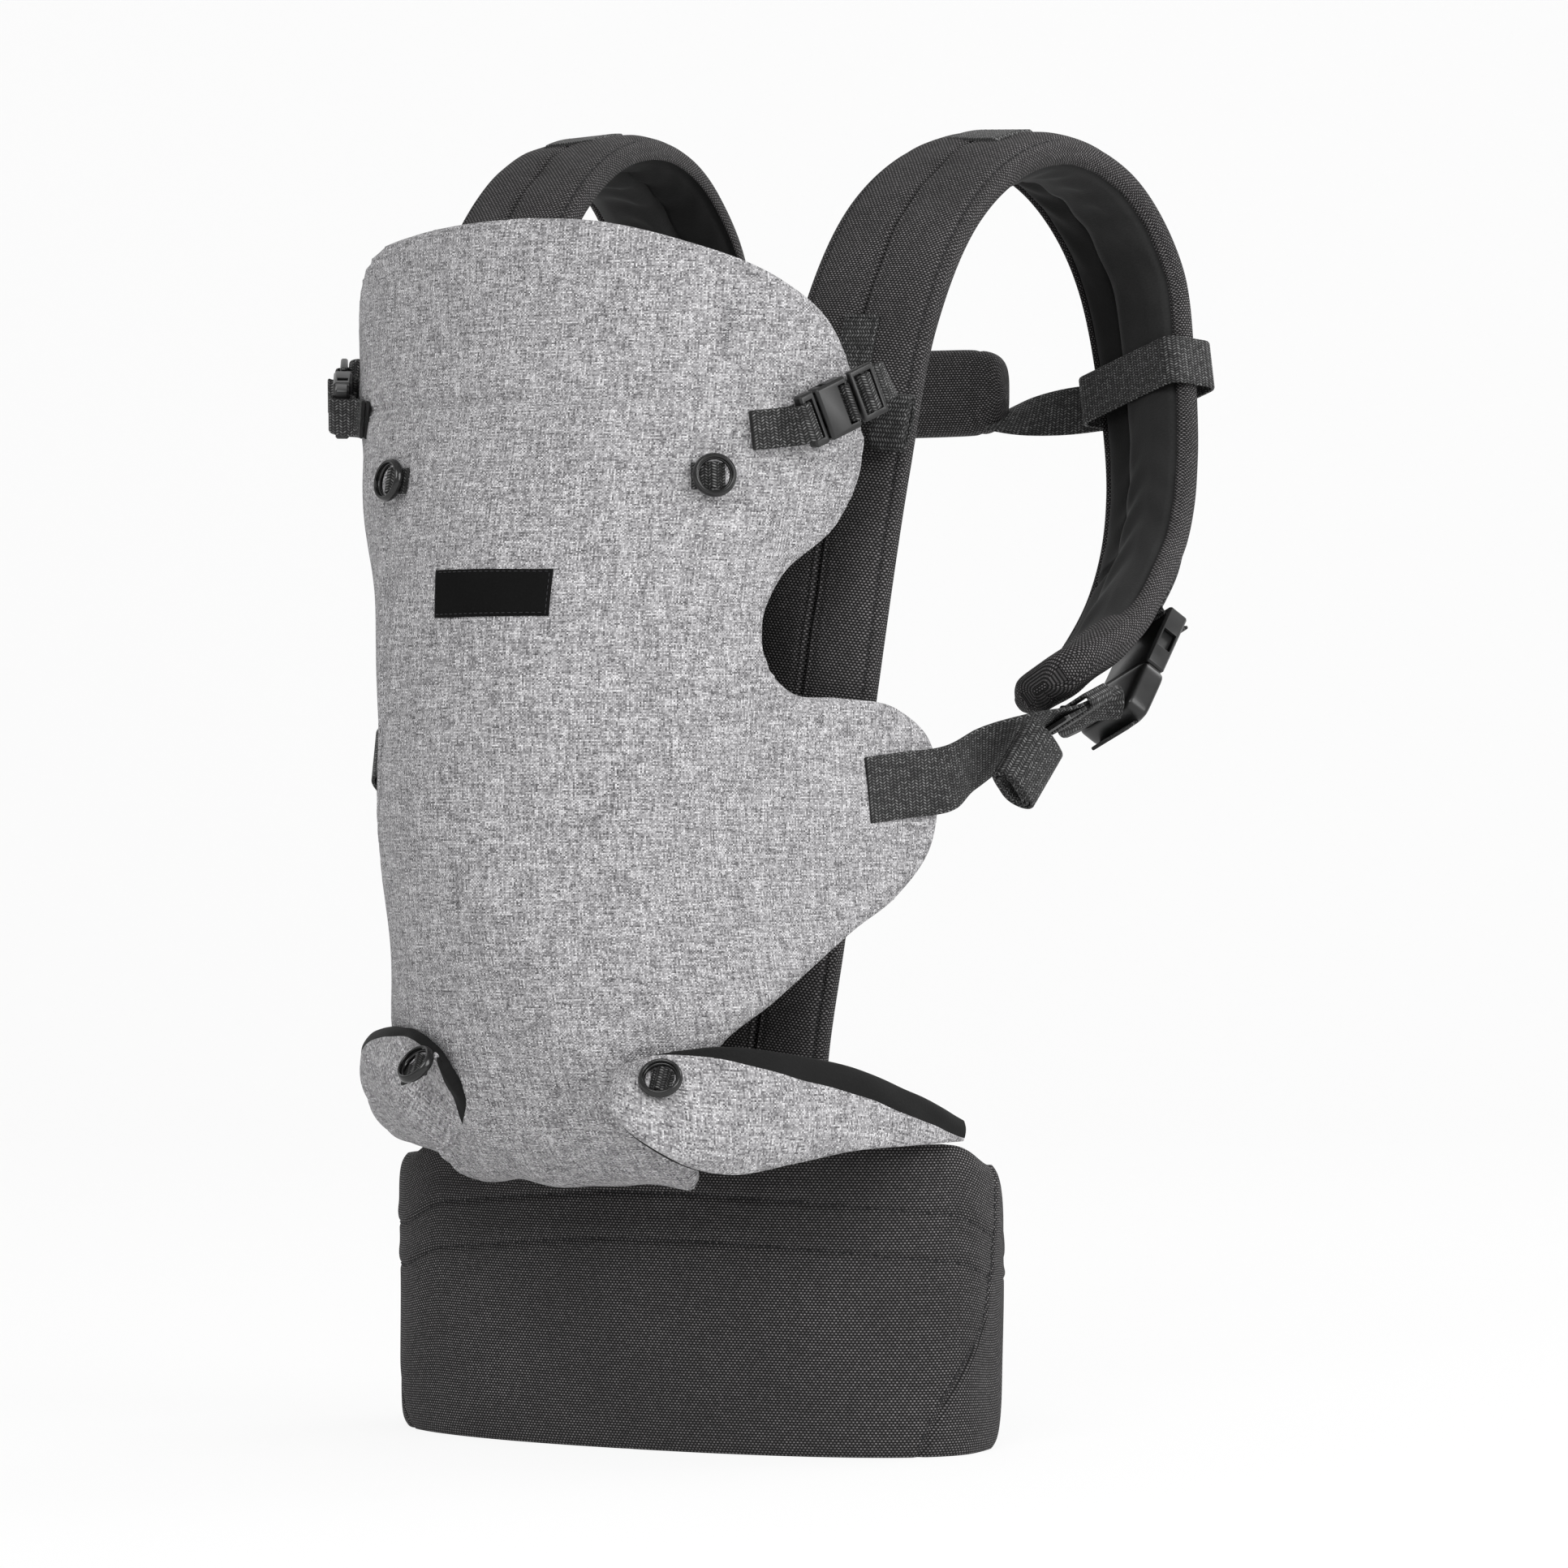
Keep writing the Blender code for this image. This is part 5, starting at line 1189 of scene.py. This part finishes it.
# Places of the rings: across and up the panel's pattern, and along and up a flap
UPPER_RING = {1: (0.0870, 0.397), -1: (0.0580, 0.397)}
LOWER_RING = {1: (0.070, 0.35), -1: (0.02, 0.10)}
RING_LIFT = PANEL_COVER + 2 * GAP + WEB + RING_DEPTH / 2 + GAP
for side, sign in SIDES:
    ring_button("upper", side, *panel_frame(*(np.array(c) for c in UPPER_RING[sign]), RING_LIFT), sign)
    p, r = LOWER_RING[sign]
    spot, out = flap_frame(p, r, RING_LIFT - PANEL_COVER + 0.0040 + 0.0008)
    along = sign * unit(flap_frame(p + 0.03, r)[0] - flap_frame(max(p - 0.03, 0.0), r)[0])
    along = unit(along - out * np.dot(along, out))
    ring_button("lower", side, spot, along, np.cross(out, along), out, sign)

# Buckles, their webbing and the rolled tails
CHEST_WEBBING = 0.018
CHEST_SOCKET = 0.018
HIP_WEBBING = 0.031
HIP_SOCKET = 0.037
BELT_WEBBING = 0.038
BELT_SOCKET = 0.039
BUCKLE_HALF = 0.0045
BASE_STEP = 0.0013
REAR_HALF = 0.0056
REAR_NOSE = 0.0120
SLOT = 0.0038
BAR = 0.0022
PLAY = 0.0005


def local(place, x, z, y=0.0):
    """Point of a buckle's own frame."""
    origin, e1, e2, e3 = place
    return origin + e1 * x + e2 * y + e3 * z


def bar_turn(place, bar_x, away, half, first=105, last=-105):
    """Points of webbing that wraps a bar."""
    a = np.radians(np.linspace(first, last, 11))
    reach = BAR / 2 + SLOT / 2 - 0.0001
    return [local(place, bar_x - away * reach * math.cos(k), (half + 0.0024) * math.sin(k)) for k in a]


def base_length(bars):
    """Length of a buckle's base with this many bars."""
    return (bars - 1) * SLOT + bars * BAR


def both(name, path, wide, width, rows, body="carrier"):
    """A webbing piece for the right side, and its mirror image for the left."""
    return [ribbon(name + "_" + side, np.array(path) * hand(sign), np.array(wide) * hand(sign), width, rows,
                   body, (name + "_" + side,)) for side, sign in SIDES]


CHEST_S, CHEST_Q, CHEST_LIFT = 0.140, 0.427, 0.0122
CHEST_SEWN = (0.112, 0.419)
CHEST_TURN = (0.123, 0.4205)
CHEST_ANCHOR_HEIGHT = 0.527
CHEST_ROLL_HEIGHT = 0.482
CHEST_ROLL_CORE, CHEST_ROLL_TURNS = 0.0016, 1.5
ROLL_PITCH = 0.0025
LEFT_CHEST_RAISE = 0.011
chest_bar = -base_length(2) - PLAY + BAR / 2
chest_far = CHEST_SOCKET - BAR / 2
chest_slide = chest_far + BAR / 2 + 0.0035
STRAP_SKIN_COVER = 0.0014
STRAP_SKIN = STRAP_FOAM / 2 + STRAP_SKIN_COVER + 2 * GAP + WEB / 2


def chest_webbing(side, sign):
    """Tab sewn on the panel round the buckle's bar, and the strap's webbing: a patch sewn flat on
    the strap that turns into the adjuster and goes on to the socket's bar."""
    turn_to = hand(sign)
    rise = 0.0 if sign > 0 else LEFT_CHEST_RAISE
    origin, across, up, out = panel_frame(np.array(CHEST_S), np.array(CHEST_Q + rise), CHEST_LIFT)
    e1 = unit(across * 0.89 + up * 0.40 - out * 0.07)
    e3 = unit(out - e1 * np.dot(out, e1))
    place = (origin, e1, np.cross(e3, e1), e3)
    low = PANEL_COVER + GAP + WEB / 2
    high = low + WEB + GAP
    sewn = [panel_frame(np.array(s), np.array(q + rise), lift) for (s, q), lift in (
        (CHEST_SEWN, high), (CHEST_TURN, high), (CHEST_TURN, low), (CHEST_SEWN, low))]
    turn = bar_turn(place, chest_bar, -1, BUCKLE_HALF - BASE_STEP)
    path = [sewn[0][0], sewn[1][0]] + turn + [sewn[2][0], sewn[3][0]]
    wide = [sewn[0][2], sewn[1][2]] + [place[2]] * len(turn) + [sewn[2][2], sewn[3][2]]
    tab = ribbon("chest_tab_" + side, np.array(path) * turn_to, np.array(wide) * turn_to,
                 CHEST_WEBBING, 120, None, ("chest_tab_" + side,))
    tuple(sewn[1][0] * turn_to)
    tuple(local(place, chest_bar - 0.004, 0.0) * turn_to)
    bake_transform(tab)
    top = strap_at(CHEST_ANCHOR_HEIGHT)
    flat = strap_frame(top)[1]
    end = chest_slide + 2 * SLOT + 3 * BAR
    under, over = -0.0030, 0.0031
    path = [strap_point(top + t, e, STRAP_SKIN + lift, sign) * turn_to for t, e, lift in
            ((0.004, 0.04, 0.0), (-0.010, 0.06, 0.0), (-0.022, 0.08, 0.0006))]
    path += [local(place, x, z) for x, z in (
        (end + 0.004, under), (end, under), (end - BAR - 0.0006, under), (end - BAR - SLOT + 0.0006, over),
        (end - 2 * BAR - SLOT - 0.0006, over), (chest_slide + BAR + 0.0006, under), (chest_slide, under))]
    path += bar_turn(place, chest_far, 1, BUCKLE_HALF, -100, 80)
    wide = [flat, flat, flat * 0.8 - place[2] * 0.2] + [-place[2]] * (len(path) - 3)
    ribbon("chest_anchor_" + side, np.array(path) * turn_to, np.array(wide) * turn_to,
           CHEST_WEBBING, 160, "carrier", ("chest_anchor_" + side,))
    box_t, box_e = box_path(81)
    strap_stitches("anchor_stitches_" + side, top - 0.005 - box_t * 0.007, 0.05 + box_e * 0.21,
                   STRAP_SKIN + WEB / 2, sign, 0.0022, 0.0010, 0.00028)


for side, sign in SIDES:
    chest_webbing(side, sign)

rear_e1 = unit((0.05, 0.68, 0.73))
rear_side = np.array((0.55, 0.60, -0.58))
rear_out = unit(rear_side - rear_e1 * np.dot(rear_side, rear_e1))
rear_e2 = np.cross(rear_out, rear_e1)
REAR = (strap_point(STRAP_LENGTH - 0.070, -0.10, 0.0262), rear_e1, rear_e2, rear_out)
rear_bar = -base_length(3) - REAR_NOSE - PLAY + BAR / 2
rear_far = HIP_SOCKET - BAR / 2
HIP_SEWN = ((0.1935, 0.2530), (0.215, 0.2555), (0.2400, 0.2585))
HIP_FREE = np.array(((0.1520, -0.034, 0.3265), (0.1620, -0.009, 0.3370), (0.1720, 0.0205, 0.3470),
                     (0.1775, 0.0385, 0.3540)))
HIP_WIDE = ((0.25, -0.10, 0.95), (0.60, -0.20, 0.75), (0.865, -0.276, 0.417), (0.865, -0.276, 0.417))
hip_go = unit(HIP_FREE[-1] - HIP_FREE[-2])


def hip_webbing():
    """Webbing sewn on the panel's wing, through its guide, round the rear buckle's bar and back,
    and the webbing sewn on the strap's outer face that runs on to the other half."""
    lift = PANEL_COVER + 2 * GAP + WEB / 2
    sewn = [panel_frame(np.array(s), np.array(q), lift) for s, q in HIP_SEWN]
    path = [f[0] for f in sewn] + list(HIP_FREE)
    both("hip_webbing", path, [f[2] for f in sewn] + list(HIP_WIDE), HIP_WEBBING, 100)
    wide = np.array(HIP_WIDE[-1])
    turn = bar_turn(REAR, rear_bar, -1, REAR_HALF - BASE_STEP, -105, 105)
    tuck = np.cross(hip_go, wide) * 0.0020
    start = HIP_FREE[-1] - hip_go * 0.034
    path = [start + tuck, HIP_FREE[-1] - hip_go * 0.015 + tuck,
            HIP_FREE[-1] + hip_go * 0.0016, local(REAR, rear_bar - 0.012, -0.0110)]
    path += turn + [local(REAR, rear_bar - 0.012, 0.0020)]
    wides = [wide, wide, wide, wide * 0.5 + rear_e2 * 0.5] + [rear_e2] * (len(path) - 4)
    leads = both("hip_lead", path, wides, HIP_WEBBING, 120, None)
    for lead, (side, sign) in zip(leads, SIDES):
        "rear_clip_" + side
        tuple(start * hand(sign))
        tuple(local(REAR, rear_bar - 0.005, 0.0) * hand(sign))
        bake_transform(lead)
    turn = bar_turn(REAR, rear_far, 1, REAR_HALF + 0.0006, -100, 80)
    reach = STRAP_LENGTH - 0.145
    across = strap_frame(reach)[1]
    path = [strap_point(reach + t, 0.05, STRAP_SKIN + lift) for t, lift in (
        (-0.030, 0.0), (-0.014, 0.0004), (0.0, 0.0012))]
    wides = [across, across, across * 0.8 + rear_e2 * 0.2] + [rear_e2] * len(turn)
    both("rear_anchor", path + turn, wides, HIP_WEBBING, 120)


hip_webbing()


def round_loop(centre, e, f, half_e, half_f, radius, count=81):
    """Closed rounded rectangle of points round a centre."""
    a = np.radians(np.linspace(0, 90, 9))[None] + np.radians((0, 90, 180, 270))[:, None]
    corner = np.array(((1, 1), (-1, 1), (-1, -1), (1, -1)))[:, None] * (half_e - radius, half_f - radius)
    flat = (corner + radius * spread(np.cos(a), np.sin(a))).reshape(-1, 2)
    flat = np.concatenate([flat, flat[:1]])
    at = lengths(flat)
    t = np.linspace(0, at[-1], count)
    x, y = (np.interp(t, at, flat[:, k]) for k in (0, 1))
    return centre + x[:, None] * e + y[:, None] * f


def band(name, loop, along, width, body, sign):
    """Webbing sewn into a closed loop: its flat section carried round the points."""
    loop, along = loop * hand(sign), along * hand(sign)
    tangent = unit(np.roll(loop[:-1], -1, 0) - np.roll(loop[:-1], 1, 0))
    tangent = np.concatenate([tangent, tangent[:1]])
    side = np.broadcast_to(along, loop.shape)
    up = np.cross(tangent, side)
    section = web_section(width)
    ring = np.concatenate([section, section[:1]])
    wall = loop[:, None] + side[:, None] * ring[:, :1] + up[:, None] * ring[:, 1:]
    uv = spread(ring[None, :, 0], lengths(loop)[:, None])
    return dress(make(name, [patch(wall, uv)], [WEBBING]), body, (name,))


def rolled_tail(name, width, core, turns, flat, place, sign):
    """Webbing end rolled on itself: a flattened spiral whose radius grows by a fixed pitch."""
    origin, ex, ey, ez = place
    a = np.radians(np.linspace(0, 360 * turns, int(turns * 26)))
    r = core + ROLL_PITCH * a / (2 * np.pi)
    x = r * np.cos(a) + np.tanh(np.cos(a) * 5) * flat / 2
    path = origin + x[:, None] * ex + (r * np.sin(a))[:, None] * ez
    wide = np.broadcast_to(ey, path.shape)
    ribbon(name, path * hand(sign), wide * hand(sign), width, int(turns * 80), "carrier", (name,))


hip_wide = unit(np.array(HIP_WIDE[-1]) - hip_go * np.dot(HIP_WIDE[-1], hip_go))
hip_out = np.cross(hip_wide, hip_go)
roll_y = unit((0.25, 0.55, 0.80))
roll_z = unit(np.cross((0.0, 0.82, -0.57), roll_y))
HIP_ROLL = (np.array((0.1735, -0.023, 0.3240)), np.cross(roll_y, roll_z), roll_y, roll_z)
guide = round_loop(HIP_FREE[-1] - hip_go * 0.0095, hip_wide, hip_out,
                   HIP_WEBBING / 2 + 0.0024, 0.0034, 0.0016)
chest_roll_t = strap_at(CHEST_ROLL_HEIGHT)
roll_across, roll_along, roll_out = strap_frame(chest_roll_t)[1:]
chest_roll_radius = CHEST_ROLL_CORE + ROLL_PITCH * CHEST_ROLL_TURNS + WEB
chest_roll_lift = STRAP_FOAM / 2 + STRAP_SKIN_COVER + GAP + chest_roll_radius
for side, sign in SIDES:
    band("hip_guide_" + side, guide, hip_go, 0.016, "carrier", sign)
    rolled_tail("hip_tail_" + side, HIP_WEBBING, 0.0030, 2.5, 0.012, HIP_ROLL, sign)
    centre = strap_point(chest_roll_t, 0.88, chest_roll_lift, sign) * hand(sign)
    rolled_tail("chest_tail_" + side, CHEST_WEBBING, CHEST_ROLL_CORE, CHEST_ROLL_TURNS, 0.016,
                (centre, roll_along, roll_across, roll_out), sign)

# Strap across the back
BACK_PAD_LENGTH = 0.092
BACK_PAD_HEIGHT = 0.046
BACK_PAD_THICKNESS = 0.027
BACK_WEBBING = 0.025
LOOP_HEIGHT = 0.518
loop_centre, loop_across, loop_along, loop_out = strap_frame(strap_at(LOOP_HEIGHT, False))
LOOP_HALF_WIDTH = STRAP_WIDTH / 2 + 0.0038
LOOP_HALF_DEPTH = STRAP_FOAM / 2 + STRAP_SKIN_COVER + GAP + 0.0044
PAD_AT = np.array((0.0, loop_centre[1] + 0.0221, loop_centre[2]))


STUFFING_FRAMES = 20


def points_of(mesh):
    """Places of a mesh's vertices, one row for each."""
    co = np.empty(len(mesh.vertices) * 3)
    mesh.vertices.foreach_get("co", co)
    return co.reshape(-1, 3)


def stuff(piece, cap, pressure=4.0):
    """Blow a closed piece up from inside as cloth, and keep each move within the cap."""
    before = points_of(piece.data)
    scene = bpy.context.scene
    cloth = piece.modifiers.new("stuffing", "CLOTH")
    cloth.settings.quality = 6
    cloth.settings.use_pressure = True
    cloth.settings.uniform_pressure_force = pressure
    cloth.settings.effector_weights.gravity = 0.0
    cloth.settings.tension_stiffness = 12
    cloth.settings.compression_stiffness = 12
    cloth.settings.bending_stiffness = 0.3
    cloth.point_cache.frame_start = 1
    cloth.point_cache.frame_end = STUFFING_FRAMES
    for number in range(1, STUFFING_FRAMES + 1):
        scene.frame_set(number)
    blown = piece.evaluated_get(bpy.context.evaluated_depsgraph_get()).data
    move = points_of(blown) - before
    piece.modifiers.remove(cloth)
    scene.frame_set(1)
    far = np.linalg.norm(move, axis=1, keepdims=True)
    move *= np.minimum(1.0, cap / np.maximum(far, 1e-9))
    piece.data.vertices.foreach_set("co", (before + move).reshape(-1))
    piece.data.update()


def back_pad():
    """Cushion lofted along x and stuffed, then drawn in at a stitched line near each end."""
    x = np.sin(np.linspace(-1, 1, 81) * np.pi / 2)[:, None]
    a = np.linspace(0, 2 * np.pi, 73)[None]
    end = (1 - np.minimum(np.abs(x), 0.9995) ** 7) ** 0.4
    high = BACK_PAD_HEIGHT / 2 * (0.25 + 0.75 * end) * 0.97
    deep = BACK_PAD_THICKNESS / 2 * (0.12 + 0.88 * end) * 0.86
    c, s = np.cos(a), np.sin(a)
    y = np.sign(c) * np.abs(c) ** 0.75 * deep
    z = np.sign(s) * np.abs(s) ** 0.62 * high
    grid = spread(x * BACK_PAD_LENGTH / 2, y, z) + PAD_AT
    uv = spread(x * BACK_PAD_LENGTH / 2, lengths(grid[40])[None])
    patches = [patch(grid, uv)]
    for i in (0, -1):
        hub = np.broadcast_to(grid[i, :-1].mean(axis=0), grid[i].shape)
        patches.append(patch(np.stack([grid[i], hub]), np.stack([uv[i], uv[i]])))
    piece = make("back_pad", patches, [CANVAS], 80)
    stuff(piece, 0.005)
    out = points_of(piece.data) - PAD_AT
    near = dip(np.abs(out[:, 0]) - 0.68 * BACK_PAD_LENGTH / 2, 0.0016)
    drawn = out * np.stack([1 + 0 * near, 1 - 0.10 * near, 1 - 0.03 * near], 1)
    piece.data.vertices.foreach_set("co", (PAD_AT + drawn).reshape(-1))
    dress(piece, "back_strap", ("back_pad",))


back_pad()
loop = round_loop(loop_centre, loop_across, loop_out, LOOP_HALF_WIDTH, LOOP_HALF_DEPTH, 0.006)
tail_start = loop_centre - loop_across * (LOOP_HALF_WIDTH - 0.2 * WEB) + loop_out * 0.004
tail_end = PAD_AT + np.array((BACK_PAD_LENGTH / 2 - 0.006, 0.0, -0.0145))
tail = tail_start + (tail_end - tail_start) * np.array((0.0, 0.3, 0.65, 1.0))[:, None]
tail_wide = np.array((-loop_along, -loop_along, (0, 0.5, 0.8), (0, 0.9, 0.4)))
for side, sign in SIDES:
    band("back_loop_" + side, loop, loop_along, BACK_WEBBING, "back_strap", sign)
    ribbon("back_tail_" + side, tail * hand(sign), tail_wide * hand(sign), BACK_WEBBING, 50, "back_strap")

# Belt webbing and buckle at the back
BELT_BACK_Y = BELT_CENTRE_Y + BELT_BACK_DEPTH
belt_z = BELT_HEIGHT / 2
BELT_CLIP = np.array(((-0.006, BELT_BACK_Y, belt_z), (1, 0, 0), (0, 0, -1), (0, 1, 0)))
belt_far = BELT_SOCKET - BAR / 2
belt_bar = -base_length(3) - PLAY + BAR / 2


def belt_webbing(side, sign, turn, body):
    """Webbing sewn on the belt's end, curving to the back and round its buckle bar."""
    back = BELT_END - np.array((0.12, 0.06, 0.0))
    path = belt_plan(back) - belt_out(back) * BELT_FOAM / 2 + (0, 0, belt_z)
    x, y = path[-1, :2]
    more = [(x * 0.90, y + (BELT_BACK_Y - y) * 0.42, belt_z),
            (x * 0.72, y + (BELT_BACK_Y - y) * 0.76, belt_z), (0.062, BELT_BACK_Y - 0.0040, belt_z)]
    path = np.concatenate([np.concatenate([path, more]) * hand(sign), turn])
    wide = np.broadcast_to((0, 0, 1.0), path.shape)
    return ribbon("belt_webbing_" + side, path, wide, BELT_WEBBING, 160, body, ("belt_webbing_" + side,))


belt_webbing("right", 1, bar_turn(BELT_CLIP, belt_far, 1, BUCKLE_HALF, -100, 80), "carrier")
left = belt_webbing("left", -1, bar_turn(BELT_CLIP, belt_bar, -1, BUCKLE_HALF - BASE_STEP, -100, 80), None)
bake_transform(left)


# Buckles
def rear_cap(side, sign):
    """Closed end of the rear buckle's pronged half, over its ladder: a block whose three radii are
    powers of a sine and a cosine, so its corners are rounded."""
    a = np.linspace(-np.pi / 2, np.pi / 2, 33)[:, None]
    b = np.linspace(0, 2 * np.pi, 65)[None]

    def swing(v):
        return np.sign(v) * np.abs(v) ** 0.28

    start, stop = rear_bar - 0.0058, -PLAY - 0.0006
    x = (start + stop) / 2 + (stop - start) / 2 * swing(np.sin(a)) + 0 * b
    y = (HIP_WEBBING / 2 + 0.0062) * swing(np.cos(a)) * swing(np.cos(b))
    z = (REAR_HALF + 0.0012) * swing(np.cos(a)) * swing(np.sin(b))
    grid = local(REAR, x[..., None], z[..., None], y[..., None]) * hand(sign)
    piece = make("rear_cap_" + side, [patch(grid, spread(b * 0.01, a * 0.01))], [BUCKLE], 40)
    dress(piece, "rear_clip_" + side)


for side, sign in SIDES:
    rear_cap(side, sign)

BODIES = frame["record"]["behaviour"]["bodies"]
BODY_OF = {node: body for body, nodes in BODIES.items() for node in nodes}
EDGE_RADIUS = 0.0003


def moulded(node):
    """Copy of a buckle's solid with its triangles joined into flat faces and its edges rounded."""
    bm = bmesh.new()
    bm.from_mesh(frame["nodes"][node].data)
    bmesh.ops.remove_doubles(bm, verts=bm.verts[:], dist=1e-5)
    bmesh.ops.dissolve_limit(bm, angle_limit=math.radians(2), verts=bm.verts[:], edges=bm.edges[:])
    sharp = [e for e in bm.edges if len(e.link_faces) == 2 and e.calc_face_angle() > math.radians(25)]
    bmesh.ops.bevel(bm, geom=sharp, offset=EDGE_RADIUS, segments=2, profile=0.6, affect="EDGES",
                    clamp_overlap=True)
    mesh = bpy.data.meshes.new(node)
    bm.to_mesh(mesh)
    bm.free()
    mesh.materials.append(BUCKLE)
    dress(show("moulded_" + node, mesh, 32), BODY_OF[node], (node,))


for name in list(frame["nodes"]):
    if any(word in name for word in ("prongs", "socket", "adjuster")):
        moulded(name)

# Floor, background and light
FLOOR_END = 2.5
FLOOR_CURVE = 1.2


def studio():
    """Pale floor that turns up into a wall behind, white to the camera, under soft lamps."""
    a = np.linspace(0, np.pi / 2, 20)[1:]
    y = np.concatenate([np.linspace(-6, FLOOR_END, 24), FLOOR_END + FLOOR_CURVE * np.sin(a),
                        np.full(12, FLOOR_END + FLOOR_CURVE)])
    z = np.concatenate([np.zeros(24), FLOOR_CURVE - FLOOR_CURVE * np.cos(a),
                        np.linspace(FLOOR_CURVE, 6, 13)[1:]])
    x = np.linspace(-7, 7, 9)
    turn = np.array(((math.cos(TURN), -math.sin(TURN)), (math.sin(TURN), math.cos(TURN))))
    grid = spread(x[:, None], y[None], z[None])
    grid[..., :2] = grid[..., :2] @ turn.T
    f = Finish("floor_white", 0.9)
    f.shader.inputs["Base Color"].default_value = (0.9, 0.9, 0.9, 1)
    glow = f.node("ShaderNodeEmission", None, {"Color": (1, 1, 1, 1), "Strength": 1.0})
    path = f.node("ShaderNodeLightPath")
    ways = path.socket.node.outputs
    seen = [Wire(f, ways[k]) for k in ("Is Camera Ray", "Is Glossy Ray", "Is Transmission Ray")]
    share = seen[0].math("MAXIMUM", seen[1]).math("MAXIMUM", seen[2])
    blend = f.node("ShaderNodeMixShader", None, [share * 0.86, Wire(f, f.shader.outputs[0]), glow])
    f.tree.links.new(blend.socket, f.tree.nodes["Material Output"].inputs["Surface"])
    floor = make("studio_floor", [patch(grid, grid[..., :2])], [f.material], outward=False)


studio()
world = bpy.data.worlds.new("studio")
bpy.context.scene.world = world
world.use_nodes = True
world.node_tree.nodes["Background"].inputs["Color"].default_value = (1, 1, 1, 1)
world.node_tree.nodes["Background"].inputs["Strength"].default_value = 0.55


def lamp(name, at, aim, size, power):
    """Square area lamp turned towards a point."""
    light = bpy.data.lights.new(name, "AREA")
    light.size = size
    light.energy = power
    lit = bpy.data.objects.new(name, light)
    way = np.array(aim) - np.array(at)
    lit.location = at
    tilt = math.acos(-way[2] / np.linalg.norm(way))
    lit.rotation_euler = (tilt, 0, math.atan2(way[1], way[0]) - math.pi / 2)
    bpy.context.scene.collection.objects.link(lit)


lamp("key", (0.6, -2.7, 2.2), (0, 0, 0.35), 1.6, 44)
lamp("side", (3.0, -0.7, 1.5), (0, 0, 0.3), 1.8, 56)
lamp("rim", (1.2, 2.0, 2.2), (0, 0.1, 0.4), 1.6, 24)
